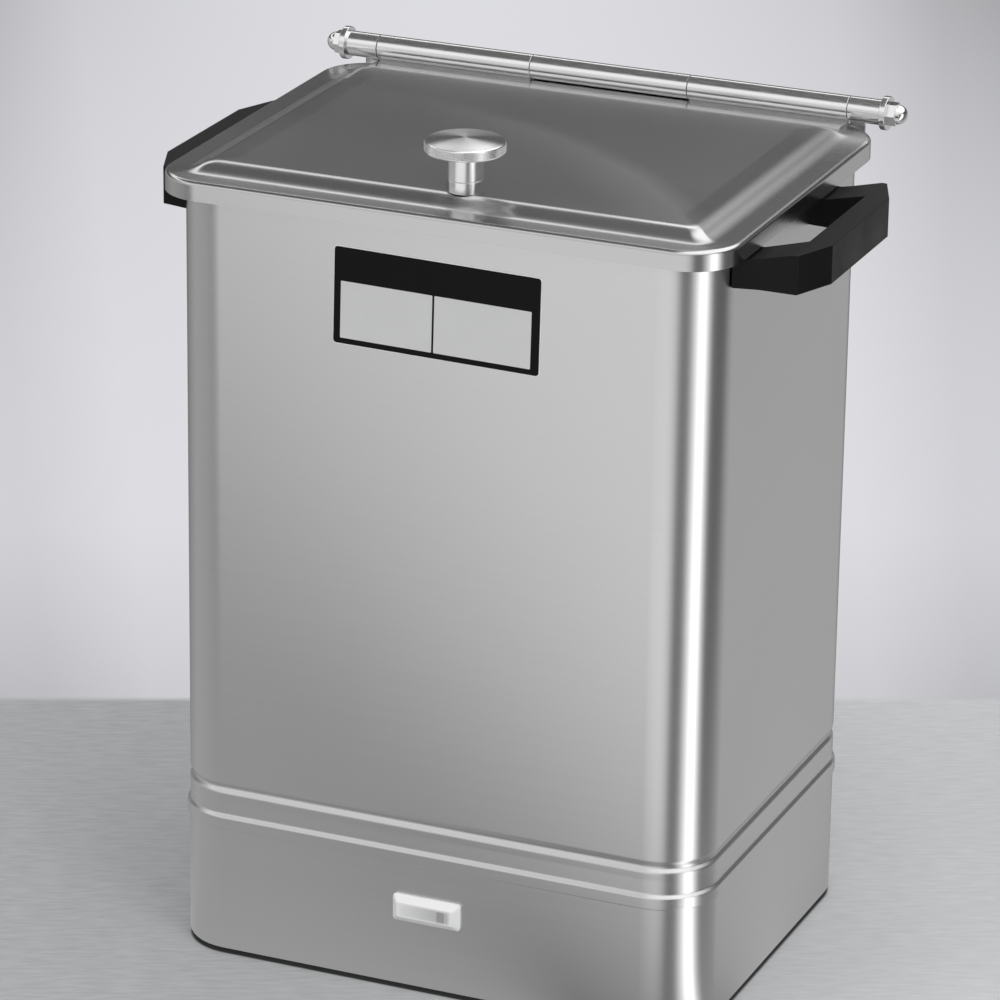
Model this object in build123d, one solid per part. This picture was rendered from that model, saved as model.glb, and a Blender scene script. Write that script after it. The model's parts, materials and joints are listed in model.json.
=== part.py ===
from build123d import *
from math import atan2, cos, pi, tan
import os

# A countertop hot pack heater: a water tank hung in a stainless jacket on a low base,
# with a hinged lid, a wire rack that lifts out, and the electrics in the base.
# Millimetres. Z is up, z = 0 is the surface it stands on, the front faces -Y. The sizes
# below are about the body's middle; the nodes are written about the whole outline's.

# ---- Driving sizes --------------------------------------------------------------
body_width = 265.0
body_depth = 205.0
body_corner = 27.0
body_height = 383.0         # surface to the top of the lid's flat edge
sheet = 0.8                 # jacket, tank and lid
base_sheet = 1.0            # skirt
foot_drop = 2.2             # skirt's lower edge above the surface

# Jacket's joint with the skirt, from the hem upwards
hem_low = 62.5              # hem's lower edge above the skirt's
hem_height = 6.1
hem_shoulder = 1.5          # height over which the hem runs out into the band
band_height = 8.3           # flat band between the hem and the bead
bead_height = 3.4
groove_height = 5.2
groove_floor = 1.4          # height of the groove's flat bottom
groove_in = 1.5
hem_out = 1.4               # how far the hem stands out of the jacket's wall
hem_gap = 0.1
hem_lap = 4.5               # how far the skirt reaches up inside the hem

# Lid
lid_side_overhang = 6.4
lid_front_overhang = 6.5
lid_rear_overhang = 1.0
lid_corner = 24.0
rim_height = 9.5
rim_bend = 2.0
rim_end_setback = 10.0      # rear end of the side rims, from the lid's rear edge
rim_end_round = 5.0
flange_width = 13.3         # flat edge around the raised panel
panel_slope = 7.0
panel_rise = 4.1
panel_corner = 5.0
lid_gap = 0.4               # lid's underside over the tank's rim

# Knob
knob_offset = (5.0, 8.2)    # right of the middle, and behind the panel's front edge
knob_head_radius = 18.5
knob_edge = 5.0
knob_crown = 1.5
knob_stem_radius = 8.4
knob_spacer_height = 5.6
knob_stem_height = 12.5
knob_washer_radius = 7.0
washer_thickness = 1.0

# Hinge
hinge_setback = 2.9         # axis behind the lid's rear edge
barrel_radius = 6.0
rod_radius = 3.5
running_gap = 0.06
barrel_end_gap = 0.4
leaf_thickness = 1.2
leaf_reach = 12.0           # lid leaf, forward of the lid's rear edge
leaf_tuck = 3.8             # its rear edge at the middle barrel, in front of the axis
barrel_lift = 0.7           # barrels clear of the lid's flat edge
barrel_middle = 40.0        # half length of the middle barrel
barrel_short = 16.0         # length of the two end barrels
barrel_overhang = 4.0       # how far the end barrels pass the body's sides
strap_thickness = 1.5
strap_setback = 28.5        # strap's ends, inside the body's sides
arm_setback = 4.5           # ends of the strap's upper part, inside the body's sides
strap_drop = 35.0           # strap's lower edge below the barrels
strap_foot = 18.0           # height of its flat foot on the wall
strap_gap = 0.7
rivet_count = 6
rivet_inset = 14.0          # outermost rivets inside the strap's ends
rivet_radius = 1.6
rivet_head = 1.2
flange_radius = 8.0
flange_thickness = 3.0
nut_across = 10.0
nut_height = 4.0
nut_dome = 4.8
dome_step = 0.4             # dome's edge inside the nut's flats
rod_end = 1.5               # rod's reach into the dome

# Tank and insulation
tank_inset = 9.0            # tank's wall inside the jacket's outer face
tank_floor_height = 88.0
tank_bottom_round = 6.0
blanket_gap = 0.3
blanket_lift = 7.0          # blanket's lower edge above the tank's floor
blanket_drop = 15.0         # its upper edge under the handles

# Side handles
handle_length = 118.0
handle_middle = -19.0       # along Y
handle_reach = (38.0, 22.0) # right and left handle, out from the wall
handle_drop = 14.1          # handle's underside below the lid's rim
handle_height = 18.0
handle_arm = 20.0
handle_grip = 11.0
handle_facet = (8.5, 21.5)  # bevel of the outer corners, along X and Y
handle_haunch = 2.5         # how much the arms thicken towards the grip
handle_foot = (12.0, 2.5)   # flare of the arms' outer faces at the wall: along X, along Y
handle_round = 1.2
neck_length = 7.2           # low part of the arms, under the lid's rim
neck_gap = 0.9              # its top under the rim
handle_screw_radius = 2.5
handle_screw_depth = 12.0
handle_screw_head = 2.0
backing_thickness = 1.4
backing_height = 12.0
backing_inset = 5.0         # strip's ends inside the handle's

# Plate on the front
plate_width = 100.0
plate_height = 45.5
plate_top = 14.0            # plate's top below the rim's lower edge
plate_thickness = 0.6
plate_corner = 1.5
plate_offset = 1.4          # right of the middle
plate_tilt = 0.9            # degrees, its right end down

# Pilot lamp
lamp_width = 34.0
lamp_height = 13.3
lamp_reach = 4.0
lamp_bevel = 3.0
lamp_middle = 40.2          # above the skirt's lower edge
lamp_body_width = 29.6
lamp_body_height = 10.2
lamp_body_depth = 22.0
lamp_wall = 1.5
lamp_gap = 0.2
lamp_bulb_radius = 2.4
lamp_bulb_length = 16.0
lamp_bulb_depth = 6.0       # its middle behind the skirt's face
lamp_leg_radius = 0.5
clip_rim = 3.0              # how much wider and taller than the lens the clip is
clip_thickness = 0.8

# Base
base_flange = 12.0
floor_thickness = 1.2
floor_gap = 0.3
foot_radius = 11.0
foot_stem_radius = 4.0
foot_inset = 26.0
foot_lip = 1.2              # lip above the plate, wider than the stem
foot_lip_height = 2.0
floor_screw_radius = 1.5
floor_screw_spread = 60.0   # half the distance between the screws front and rear
screw_clearance = 0.1
screw_head = 1.2
vent_count = 5
vent_pitch = 10.0
vent_size = (4.0, 26.0)
vent_y = -45.0

# Heating element, in the bottom of the tank
element_radius = 4.0
element_half_gap = 30.0     # half the distance between the hairpin's legs
element_inset = (14.5, 31.5)   # its ends inside the tank's left and right walls
element_bend = 12.0
element_tail = 22.0         # how far it reaches below the tank
pin_radius = 1.5
pin_length = 9.0
bushing_radius = 8.0
bushing_collar = 2.0
bushing_thread = 6.0
bushing_length = 10.0       # thread below the tank's floor
gasket_thickness = 2.0
bushing_nut_height = 6.0

# Thermostat and its sensor
thermostat_size = (40.0, 34.0, 28.0)
thermostat_x = -60.0
thermostat_low = 22.0
bracket_sheet = 1.2
bracket_foot = 8.0
dial_radius = 9.0
dial_height = 3.5
dial_drop = 0.4             # dial's face above the skirt's lower edge
dial_gap = 0.5
dial_slot = (1.8, 1.0)      # coin slot's width and depth
spindle_radius = 3.0
spindle_depth = 5.0         # how far the spindle reaches into the case
sensor_radius = 3.0
sensor_half_length = 45.0
sensor_gap = 0.1            # between the sensor and the element it lies against
clip_wall = 1.0
clip_width = 6.0
clip_spread = 30.0
capillary_radius = 1.0
capillary_bend = 8.0
gland_radius = 7.0
gland_collar = 2.5
gland_length = 9.0
gland_nut_height = 5.0

# Supply side
terminal_size = (50.0, 22.0, 18.0)
terminal_place = (48.0, 34.0)
terminal_pitch = 12.0
terminal_screw_inset = 5.0
entry_drop = 6.0            # wire entries below the block's top
entry_depth = 2.0           # how far the leads reach into them
lead_radius = 1.3
lead_bend = 5.0
lead_level = 12.0           # leads' height on the thermostat's case, above its underside
lead_run = 13.0             # straight run out of the terminal block
cord_place = (60.0, 28.0)   # X, and height above the skirt's lower edge
cord_radius = 4.2
cord_thread = 8.0
cord_nut_across = 22.0
cord_nut_height = 4.0
cord_cap_length = 10.0
cord_cap_wall = 2.5
cord_flange_height = 5.0
cord_stub = 4.0             # thread's reach into the cap
cord_thread_length = 14.0   # thread's reach inside the skirt

# Rack
rack_slots = 4
rack_margin = (14.7, 12.7)  # outer wires inside the tank's walls, along X and Y
rack_wire = 2.0
rack_rung = 1.6
rack_rungs = 7
rack_clear = 3.0            # floor wires above the element
rack_headroom = 65.8        # upper wires' middle below the tank's rim
rack_rail_inset = 14.0      # side rails inside the dividers' height
rack_overlap = 4.0          # ends of the rails past the outer dividers
rack_stub = 3.0             # ends of the dividers past the outer rungs
rack_weld_gap = 0.1
rack_seat_gap = 0.3
rack_leg_inset = 12.0

# ---- Places worked out from them --------------------------------------------------
wall_x = body_width / 2
wall_y = body_depth / 2
skirt_low = foot_drop
lid_top = body_height
lid_under = lid_top - sheet
rim_low = lid_top - rim_height
tank_top = lid_under - lid_gap
jacket_top = tank_top - sheet

handle_low = rim_low - handle_drop

hem_high = hem_low + hem_height
bead_low = hem_high + band_height
bead_high = bead_low + bead_height
groove_high = bead_high + groove_height

skirt_out = hem_out - sheet - hem_gap
skirt_x = wall_x + skirt_out
skirt_y = wall_y + skirt_out
skirt_top = skirt_low + hem_low + hem_lap
skirt_corner = body_corner + skirt_out

lid_width = body_width + 2 * lid_side_overhang
lid_depth = body_depth + lid_front_overhang + lid_rear_overhang
lid_middle = (lid_rear_overhang - lid_front_overhang) / 2
lid_front = lid_middle - lid_depth / 2
lid_rear = lid_middle + lid_depth / 2
panel_inset = flange_width + panel_slope
panel_top = lid_top + panel_rise
panel_under = panel_top - sheet

hinge_y = lid_rear + hinge_setback
hinge_z = lid_top + barrel_lift + barrel_radius
bore_radius = rod_radius + running_gap
barrel_end = wall_x + barrel_overhang
barrel_outer = barrel_end - barrel_short - barrel_end_gap
strap_x = wall_x - strap_setback
strap_low = hinge_z - barrel_radius - strap_drop
rivet_z = strap_low + strap_foot / 2

tank_width = body_width - 2 * tank_inset
tank_depth = body_depth - 2 * tank_inset
tank_corner = body_corner - tank_inset
tank_floor_top = tank_floor_height + sheet

element_z = tank_floor_top + bushing_collar + element_bend + running_gap
element_left = tank_width / 2 - element_inset[0] - element_radius
element_right = tank_width / 2 - element_inset[1]
sensor_y = -(element_half_gap - element_radius - sensor_radius - sensor_gap)
thermostat_high = thermostat_low + thermostat_size[2]
floor_low = skirt_low + base_sheet
floor_top = floor_low + floor_thickness
lamp_z = skirt_low + lamp_middle
cord_z = skirt_low + cord_place[1]
terminal_top = floor_top + terminal_size[2]

rack_half = tank_width / 2 - sheet - rack_margin[0]
rung_pitch = 2 * rack_half / (rack_rungs - 1)
rack_depth = tank_depth / 2 - sheet - rack_margin[1]
rack_low = element_z + element_radius + rack_clear + 3 * rack_wire + rack_weld_gap
rack_high = tank_top - rack_headroom
rail_x = rack_half + rack_rung + rack_wire + rack_weld_gap

cord_end = skirt_y + cord_flange_height + cord_cap_length
outline_x = (handle_reach[0] - handle_reach[1]) / 2     # middle of the whole outline
outline_y = (lid_front + cord_end) / 2

# ---- Shapes used more than once ---------------------------------------------------
def level_section(width, depth, corner, z, y=0.0):
    """A level rounded rectangle, centred on x = 0."""
    return Pos(0, y, z) * RectangleRounded(width, depth, corner)


def block(width, depth, corner, low, high, y=0.0):
    """An upright block with rounded corners, from one height to another."""
    return extrude(level_section(width, depth, corner, low, y), high - low)


def stacked(profile):
    """A form round the body whose wall moves in and out, as (height, offset)."""
    sections = [
        level_section(body_width + 2 * out, body_depth + 2 * out, body_corner + out, z)
        for z, out in profile
    ]
    return loft(sections, ruled=True)


def box(x, y, z):
    """A box given by its low and high bounds along each axis."""
    size = [high - low for low, high in (x, y, z)]
    middle = [(high + low) / 2 for low, high in (x, y, z)]
    return Pos(*middle) * Box(*size)


def rod_x(radius, low, high, y, z):
    """A round bar along X."""
    return Pos((low + high) / 2, y, z) * Rot(0, 90, 0) * Cylinder(radius, high - low)


def rod_y(radius, low, high, x, z):
    """A round bar along Y."""
    return Pos(x, (low + high) / 2, z) * Rot(90, 0, 0) * Cylinder(radius, high - low)


def rod_z(radius, low, high, x, y):
    """A round bar along Z."""
    return Pos(x, y, (low + high) / 2) * Cylinder(radius, high - low)


def hexagon_z(across, low, high, x, y):
    """A hexagonal bar along Z, given across its flats."""
    corner = across / 2 / cos(pi / 6)
    return Pos(x, y, low) * extrude(RegularPolygon(corner, 6), high - low)


def side_profile(points, low, high):
    """A prism along X whose outline is given as (y, z) points."""
    outline = make_face(Polyline(*[(low, y, z) for y, z in points], close=True))
    return extrude(outline, high - low, dir=(1, 0, 0))


def bent_tube(points, bends, radius):
    """A round bar through the given points, bent to a radius at each inner one."""
    path = FilletPolyline(*points, radius=bends)
    section = Plane(origin=path @ 0, z_dir=path % 0) * Circle(radius)
    return sweep(section, path=path)


def mirrored(shape):
    """A shape and its twin on the other side of the body."""
    return [shape, mirror(shape, about=Plane.YZ)]


def save(name, shape):
    """Write one node, a single solid or a group of them, about the outline's middle."""
    pieces = shape if isinstance(shape, list) else [shape]
    pieces = [Pos(-outline_x, -outline_y, 0) * piece.solid() for piece in pieces]
    node = Compound(children=pieces) if len(pieces) > 1 else pieces[0]
    node.label = name
    export_step(node, f"parts/{name}.step")


# ---- Jacket, skirt and the parts on them -------------------------------------------
def handle_screw_places():
    """(y, z) of the two screws that hold each handle."""
    reach = handle_length / 2 - handle_arm / 2
    z = handle_low + backing_height / 2
    return [(handle_middle - reach, z), (handle_middle + reach, z)]


def rivet_places():
    """X of the rivets through the hinge's strap."""
    outermost = strap_x - rivet_inset
    pitch = 2 * outermost / (rivet_count - 1)
    return [i * pitch - outermost for i in range(rivet_count)]


def jacket():
    """The outer shell: a hem over the skirt, a bead and a groove, then a plain wall."""
    low = skirt_low + hem_low
    high = skirt_low + hem_high
    groove_middle = skirt_low + (bead_high + groove_high) / 2
    outer = [
        (low, hem_out * 0.7),
        (low + hem_height * 0.15, hem_out),
        (high - hem_height * 0.2, hem_out),
        (high, hem_out * 0.7),
        (high + hem_shoulder, hem_out * 0.25),
        (skirt_low + bead_low, 0),
        (skirt_low + bead_high, 0),
        (groove_middle - groove_floor / 2, -groove_in),
        (groove_middle + groove_floor / 2, -groove_in),
        (skirt_low + groove_high, 0),
        (jacket_top, 0),
    ]
    inner = [(z, out - sheet) for z, out in outer[2:-1]]
    inner = [(low - 1, hem_out - sheet)] + inner + [(jacket_top + 1, -sheet)]
    shell = stacked(outer) - stacked(inner)
    for y, z in handle_screw_places():
        shell -= rod_x(handle_screw_radius + screw_clearance, -body_width, body_width, y, z)
    for x in rivet_places():
        shell -= rod_y(rivet_radius + screw_clearance, wall_y - 5, wall_y + 5, x, rivet_z)
    return shell


def floor_screw_places():
    """(x, y) of the screws that hold the floor plate to the skirt's flange."""
    side = skirt_x - base_flange / 2
    front = skirt_y - base_flange / 2
    return [(side, 0), (-side, 0)] + [
        (x, y) for x in (-floor_screw_spread, floor_screw_spread) for y in (-front, front)
    ]


def foot_places():
    """(x, y) of the four feet."""
    x = skirt_x - foot_inset
    y = skirt_y - foot_inset
    return [(x, y), (-x, y), (x, -y), (-x, -y)]


def base_skirt():
    """The base's wall, turned in along its lower edge."""
    width = 2 * skirt_x
    depth = 2 * skirt_y
    inner_corner = skirt_corner - base_sheet
    wall = block(width, depth, skirt_corner, skirt_low, skirt_top)
    wall -= block(
        width - 2 * base_sheet, depth - 2 * base_sheet, inner_corner, floor_low, skirt_top + 1
    )
    wall -= block(
        width - 2 * base_flange, depth - 2 * base_flange,
        skirt_corner - base_flange, skirt_low - 1, floor_low + 1,
    )
    wall -= lamp_block(
        lamp_body_width + lamp_gap, lamp_body_height + lamp_gap, -skirt_y - 1, base_sheet + 2
    )
    wall -= rod_y(cord_thread + screw_clearance, skirt_y - 5, skirt_y + 5, cord_place[0], cord_z)
    for x, y in floor_screw_places():
        wall -= rod_z(floor_screw_radius + screw_clearance, 0, floor_top, x, y)
    return wall


def base_floor():
    """The floor plate, with slots for air and a hole for the thermostat's dial."""
    inset = base_sheet + floor_gap
    plate = block(
        2 * (skirt_x - inset), 2 * (skirt_y - inset), skirt_corner - inset, floor_low, floor_top
    )
    for x, y in floor_screw_places():
        plate -= rod_z(floor_screw_radius + screw_clearance, 0, floor_top + 1, x, y)
    for x, y in foot_places():
        plate -= rod_z(foot_stem_radius + screw_clearance, 0, floor_top + 1, x, y)
    plate -= rod_z(dial_radius + dial_gap, 0, floor_top + 1, thermostat_x, sensor_y)
    slot = SlotOverall(vent_size[1], vent_size[0], rotation=90)
    for i in range(vent_count):
        x = (i - (vent_count - 1) / 2) * vent_pitch
        plate -= extrude(Pos(x, vent_y, floor_low) * slot, floor_thickness)
    for x, y in bracket_screw_places() + terminal_screw_places():
        plate -= rod_z(floor_screw_radius + screw_clearance, 0, floor_top + 1, x, y)
    return plate


def rubber_feet():
    """Four push-in feet: a disc below the plate, a stem through it and a lip above."""
    feet = []
    for x, y in foot_places():
        disc = rod_z(foot_radius, 0, floor_low, x, y)
        stem = rod_z(foot_stem_radius, floor_low, floor_top, x, y)
        lip = rod_z(foot_stem_radius + foot_lip, floor_top, floor_top + foot_lip_height, x, y)
        feet.append(disc + stem + lip)
    return feet


def floor_screws():
    """Pan-head screws up through the skirt's flange into the floor plate."""
    screws = []
    for x, y in floor_screw_places():
        head = rod_z(2 * floor_screw_radius, skirt_low - screw_head, skirt_low, x, y)
        shank = rod_z(floor_screw_radius, skirt_low, floor_top + 2 * floor_screw_radius, x, y)
        screws.append(head + shank)
    return screws


def front_plate():
    """The thin plate stuck on the front wall, under the lid's rim."""
    z = rim_low - plate_top - plate_height / 2
    outline = RectangleRounded(plate_width, plate_height, plate_corner)
    place = Plane(origin=(plate_offset, -wall_y, z), x_dir=(1, 0, 0), z_dir=(0, -1, 0))
    return extrude(place * Rot(0, 0, -plate_tilt) * outline, plate_thickness)


# ---- Pilot lamp ---------------------------------------------------------------------
def lamp_section(width, height, corner, y):
    """An upright rounded rectangle at the lamp, facing the front."""
    place = Plane(origin=(0, y, lamp_z), x_dir=(1, 0, 0), z_dir=(0, -1, 0))
    return place * RectangleRounded(width, height, corner)


def lamp_block(width, height, front, depth):
    """A block at the lamp, from its front face backwards."""
    return extrude(lamp_section(width, height, 1.0, front), depth, dir=(0, 1, 0))


def lamp_lens():
    """The white lens: a bevelled block, hollow at the back."""
    root = lamp_section(lamp_width, lamp_height, 1.6, -skirt_y)
    waist = lamp_section(lamp_width, lamp_height, 1.6, -skirt_y - lamp_reach / 3)
    face = lamp_section(
        lamp_width - 2 * lamp_bevel, lamp_height - 2 * lamp_bevel, 1.0, -skirt_y - lamp_reach
    )
    lens = loft([root, waist, face], ruled=True)
    return lens - lamp_block(
        lamp_body_width - 2 * lamp_wall, lamp_body_height - 2 * lamp_wall,
        -skirt_y - lamp_reach + lamp_wall, lamp_reach,
    )


def lamp_body():
    """The lamp's housing, through the skirt, open towards the lens."""
    housing = lamp_block(lamp_body_width, lamp_body_height, -skirt_y, lamp_body_depth)
    return housing - lamp_block(
        lamp_body_width - 2 * lamp_wall, lamp_body_height - 2 * lamp_wall,
        -skirt_y - 1, lamp_body_depth - lamp_wall + 1,
    )


def lamp_bulb():
    """The neon bulb across the housing, on its two legs."""
    y = -skirt_y + lamp_bulb_depth
    back = -skirt_y + lamp_body_depth - lamp_wall
    bulb = rod_x(lamp_bulb_radius, -lamp_bulb_length / 2, lamp_bulb_length / 2, y, lamp_z)
    for x in (-lamp_bulb_length / 3, lamp_bulb_length / 3):
        bulb += rod_y(lamp_leg_radius, y, back, x, lamp_z)
    return bulb


def lamp_clip():
    """The spring frame that holds the housing from inside the skirt."""
    inside = -skirt_y + base_sheet
    frame = lamp_block(lamp_width + clip_rim, lamp_height + clip_rim, inside, clip_thickness)
    return frame - lamp_block(
        lamp_body_width + lamp_gap, lamp_body_height + lamp_gap, inside - 1, clip_thickness + 2
    )


# ---- Tank and insulation --------------------------------------------------------------
def fitting_places():
    """(x, y) of the element's two bushings through the tank's floor."""
    return [(element_right, element_half_gap), (element_right, -element_half_gap)]


def tank_outline(inset, low, high):
    """A block with the tank's outline, set in by a distance."""
    return block(
        tank_width - 2 * inset, tank_depth - 2 * inset, tank_corner - inset, low, high
    )


def tank_walls():
    """The tank's upright wall, in two U-shaped halves welded at the sides."""
    low = tank_floor_height + tank_bottom_round
    wall = tank_outline(0, low, tank_top) - tank_outline(sheet, low - 1, tank_top + 1)
    side = (-tank_width, tank_width)
    height = (low - 1, tank_top + 1)
    return [wall & box(side, half, height) for half in ((-tank_depth, 0), (0, tank_depth))]


def tank_floor():
    """The tank's pressed floor, its rounded edge welded to the walls."""
    high = tank_floor_height + tank_bottom_round
    outer = tank_outline(0, tank_floor_height, high)
    outer = fillet(outer.edges().group_by(Axis.Z)[0], tank_bottom_round - running_gap)
    inner = tank_outline(sheet, tank_floor_top, high + tank_bottom_round)
    inner = fillet(inner.edges().group_by(Axis.Z)[0], tank_bottom_round - sheet)
    floor = outer - inner
    low = tank_floor_height - 1
    for x, y in fitting_places():
        floor -= rod_z(bushing_thread + screw_clearance, low, high, x, y)
    return floor - rod_z(gland_radius / 2 + screw_clearance, low, high, thermostat_x, sensor_y)


def tank_rim():
    """The flat rim welded round the tank, which hangs it on the jacket's upper edge."""
    rim = block(body_width, body_depth, body_corner, jacket_top, tank_top)
    return rim - tank_outline(0, jacket_top - 1, tank_top + 1)


def insulation_blanket():
    """Glass-fibre blanket between the tank and the jacket."""
    inset = sheet + blanket_gap
    low = tank_floor_height + blanket_lift
    high = handle_low - blanket_drop
    outer = block(
        body_width - 2 * inset, body_depth - 2 * inset, body_corner - inset, low, high
    )
    return outer - block(tank_width, tank_depth, tank_corner, low - 1, high + 1)


# ---- Lid and knob -----------------------------------------------------------------------
def lid_form(inset, drop):
    """The lid's outer form, or its inner one when set in and dropped by the sheet."""
    shift = drop * tan(atan2(panel_rise, panel_slope) / 2)
    low = rim_low - (1 if drop else 0)
    edge = block(
        lid_width - 2 * inset, lid_depth - 2 * inset, lid_corner - inset,
        low, lid_top - drop, lid_middle,
    )
    edge = fillet(edge.edges().group_by(Axis.Z)[-1], rim_bend - inset)
    foot = level_section(
        lid_width - 2 * (flange_width + shift), lid_depth - 2 * (flange_width + shift),
        panel_corner + panel_slope, lid_top - drop, lid_middle,
    )
    head = level_section(
        lid_width - 2 * (panel_inset + shift), lid_depth - 2 * (panel_inset + shift),
        panel_corner, panel_top - drop, lid_middle,
    )
    return edge + loft([foot, head], ruled=True)


def rim_cutter():
    """Takes the rim away at the rear, where the lid swings, and rounds the ends left."""
    end = lid_rear - rim_end_setback
    start = end - rim_end_round
    above = rim_low + rim_end_round
    cutter = box((-lid_width, lid_width), (start, lid_rear + 5), (rim_low - 5, lid_under))
    cutter -= box((-lid_width, lid_width), (start - 1, end), (above, lid_under + 1))
    return cutter - rod_x(rim_end_round, -lid_width, lid_width, start, above)


def knob_place():
    """(x, y) of the knob on the lid's raised panel."""
    return knob_offset[0], lid_front + panel_inset + knob_offset[1]


def lid_pan():
    """The pressed lid: a turned-down rim, a flat edge and a raised panel."""
    pan = lid_form(0, 0) - lid_form(sheet, sheet) - rim_cutter()
    x, y = knob_place()
    return pan - rod_z(handle_screw_radius + screw_clearance, lid_under, panel_top + 1, x, y)


def knob_spacer():
    """The short collar between the lid and the knob."""
    x, y = knob_place()
    collar = rod_z(knob_stem_radius, panel_top, panel_top + knob_spacer_height, x, y)
    collar -= rod_z(handle_screw_radius + screw_clearance, panel_top - 1, panel_top + 20, x, y)
    return collar


def lid_knob():
    """The turned knob: a stem and a wide, low-crowned head."""
    x, y = knob_place()
    low = panel_top + knob_spacer_height
    head_low = low + knob_stem_height
    head_high = head_low + knob_edge
    stem = rod_z(knob_stem_radius, low, head_low + 1, x, y)
    crown_radius = (knob_head_radius ** 2 + knob_crown ** 2) / (2 * knob_crown)
    head = rod_z(knob_head_radius, head_low, head_high + knob_crown, x, y)
    crown = Pos(x, y, head_high + knob_crown - crown_radius) * Sphere(crown_radius)
    hole = rod_z(handle_screw_radius + running_gap, low - 1, head_low, x, y)
    return stem + (head & crown) - hole


def knob_washer():
    """The washer under the lid."""
    x, y = knob_place()
    ring = rod_z(knob_washer_radius, panel_under - washer_thickness, panel_under, x, y)
    return ring - rod_z(handle_screw_radius + screw_clearance, rim_low, panel_top, x, y)


def knob_screw():
    """The screw up through the washer, lid and collar into the knob."""
    x, y = knob_place()
    top = panel_top + knob_spacer_height + knob_stem_height - handle_screw_radius
    seat = panel_under - washer_thickness
    head = rod_z(2 * handle_screw_radius, seat - handle_screw_radius, seat, x, y)
    return head + rod_z(handle_screw_radius, seat, top, x, y)


# ---- Hinge ----------------------------------------------------------------------------
def lid_leaf():
    """The lid's leaf: a strip on its flat edge, rolled into two long barrels."""
    middle_clear = barrel_middle + barrel_end_gap
    front = lid_rear - leaf_reach
    strip = (lid_top, lid_top + leaf_thickness)
    leaf = box((-barrel_outer, barrel_outer), (front, hinge_y - leaf_tuck), strip)
    for side in (-1, 1):
        span = sorted((side * middle_clear, side * barrel_outer))
        leaf += box(span, (front, hinge_y), strip)
        leaf += rod_x(barrel_radius, *span, hinge_y, hinge_z)
    return leaf - rod_x(bore_radius, -body_width, body_width, hinge_y, hinge_z)


def body_leaf():
    """The body's leaf: a joggled strap on the rear wall with three barrels."""
    front = hinge_y - strap_thickness / 2
    rear = hinge_y + strap_thickness / 2
    top = lid_top - strap_gap
    jog = front - wall_y
    low = strap_low
    foot_top = low + strap_foot
    arm_x = wall_x - arm_setback
    outline = [
        (front, top), (rear, top), (rear, foot_top + jog), (rear - jog, foot_top),
        (rear - jog, low), (wall_y, low), (wall_y, foot_top), (front, foot_top + jog),
    ]
    strap = side_profile(outline, -strap_x, strap_x)
    strap += box((-arm_x, arm_x), (front, rear), (foot_top + jog, top))
    inner_end = barrel_outer + barrel_end_gap
    spans = [
        ((-barrel_end, -inner_end), (-arm_x, -inner_end)),
        ((-barrel_middle, barrel_middle), (-barrel_middle, barrel_middle)),
        ((inner_end, barrel_end), (inner_end, arm_x)),
    ]
    for barrel, web in spans:
        strap += box(web, (front, rear), (top - 1, hinge_z))
        strap += rod_x(barrel_radius, *barrel, hinge_y, hinge_z)
    strap -= rod_x(bore_radius, -body_width, body_width, hinge_y, hinge_z)
    for x in rivet_places():
        strap -= rod_y(rivet_radius + screw_clearance, wall_y - 1, hinge_y, x, rivet_z)
    return strap


def hinge_rod():
    """The rod through all five barrels."""
    reach = barrel_end + flange_thickness + nut_height + rod_end
    return rod_x(rod_radius, -reach, reach, hinge_y, hinge_z)


def hinge_flanges():
    """The round end flanges between the barrels and the nuts."""
    ring = rod_x(flange_radius, barrel_end, barrel_end + flange_thickness, hinge_y, hinge_z)
    ring -= rod_x(bore_radius, 0, body_width, hinge_y, hinge_z)
    ring = chamfer(ring.edges().filter_by(GeomType.CIRCLE).group_by(Axis.X)[-1][-1:], 0.5)
    return mirrored(ring)


def acorn_nuts():
    """Domed nuts on the rod's ends."""
    low = barrel_end + flange_thickness
    corner = nut_across / 2 / cos(pi / 6)
    place = Plane(origin=(low, hinge_y, hinge_z), x_dir=(0, 1, 0), z_dir=(1, 0, 0))
    nut = extrude(place * RegularPolygon(corner, 6), nut_height)
    radius = nut_across / 2 - dome_step
    dome_x = low + nut_height + nut_dome - radius
    nut += rod_x(radius, low, dome_x, hinge_y, hinge_z)
    nut += Pos(dome_x, hinge_y, hinge_z) * Sphere(radius)
    nut -= rod_x(bore_radius, 0, low + nut_height + rod_end, hinge_y, hinge_z)
    return mirrored(nut)


def strap_rivets():
    """Round-head rivets through the strap and the jacket."""
    rivets = []
    face = wall_y + strap_thickness
    inside = wall_y - sheet
    for x in rivet_places():
        rivet = rod_y(rivet_radius, inside, face, x, rivet_z)
        rivet += rod_y(2 * rivet_radius, face, face + rivet_head, x, rivet_z)
        rivet += rod_y(2 * rivet_radius, inside - rivet_head, inside, x, rivet_z)
        rivets.append(rivet)
    return rivets


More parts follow.
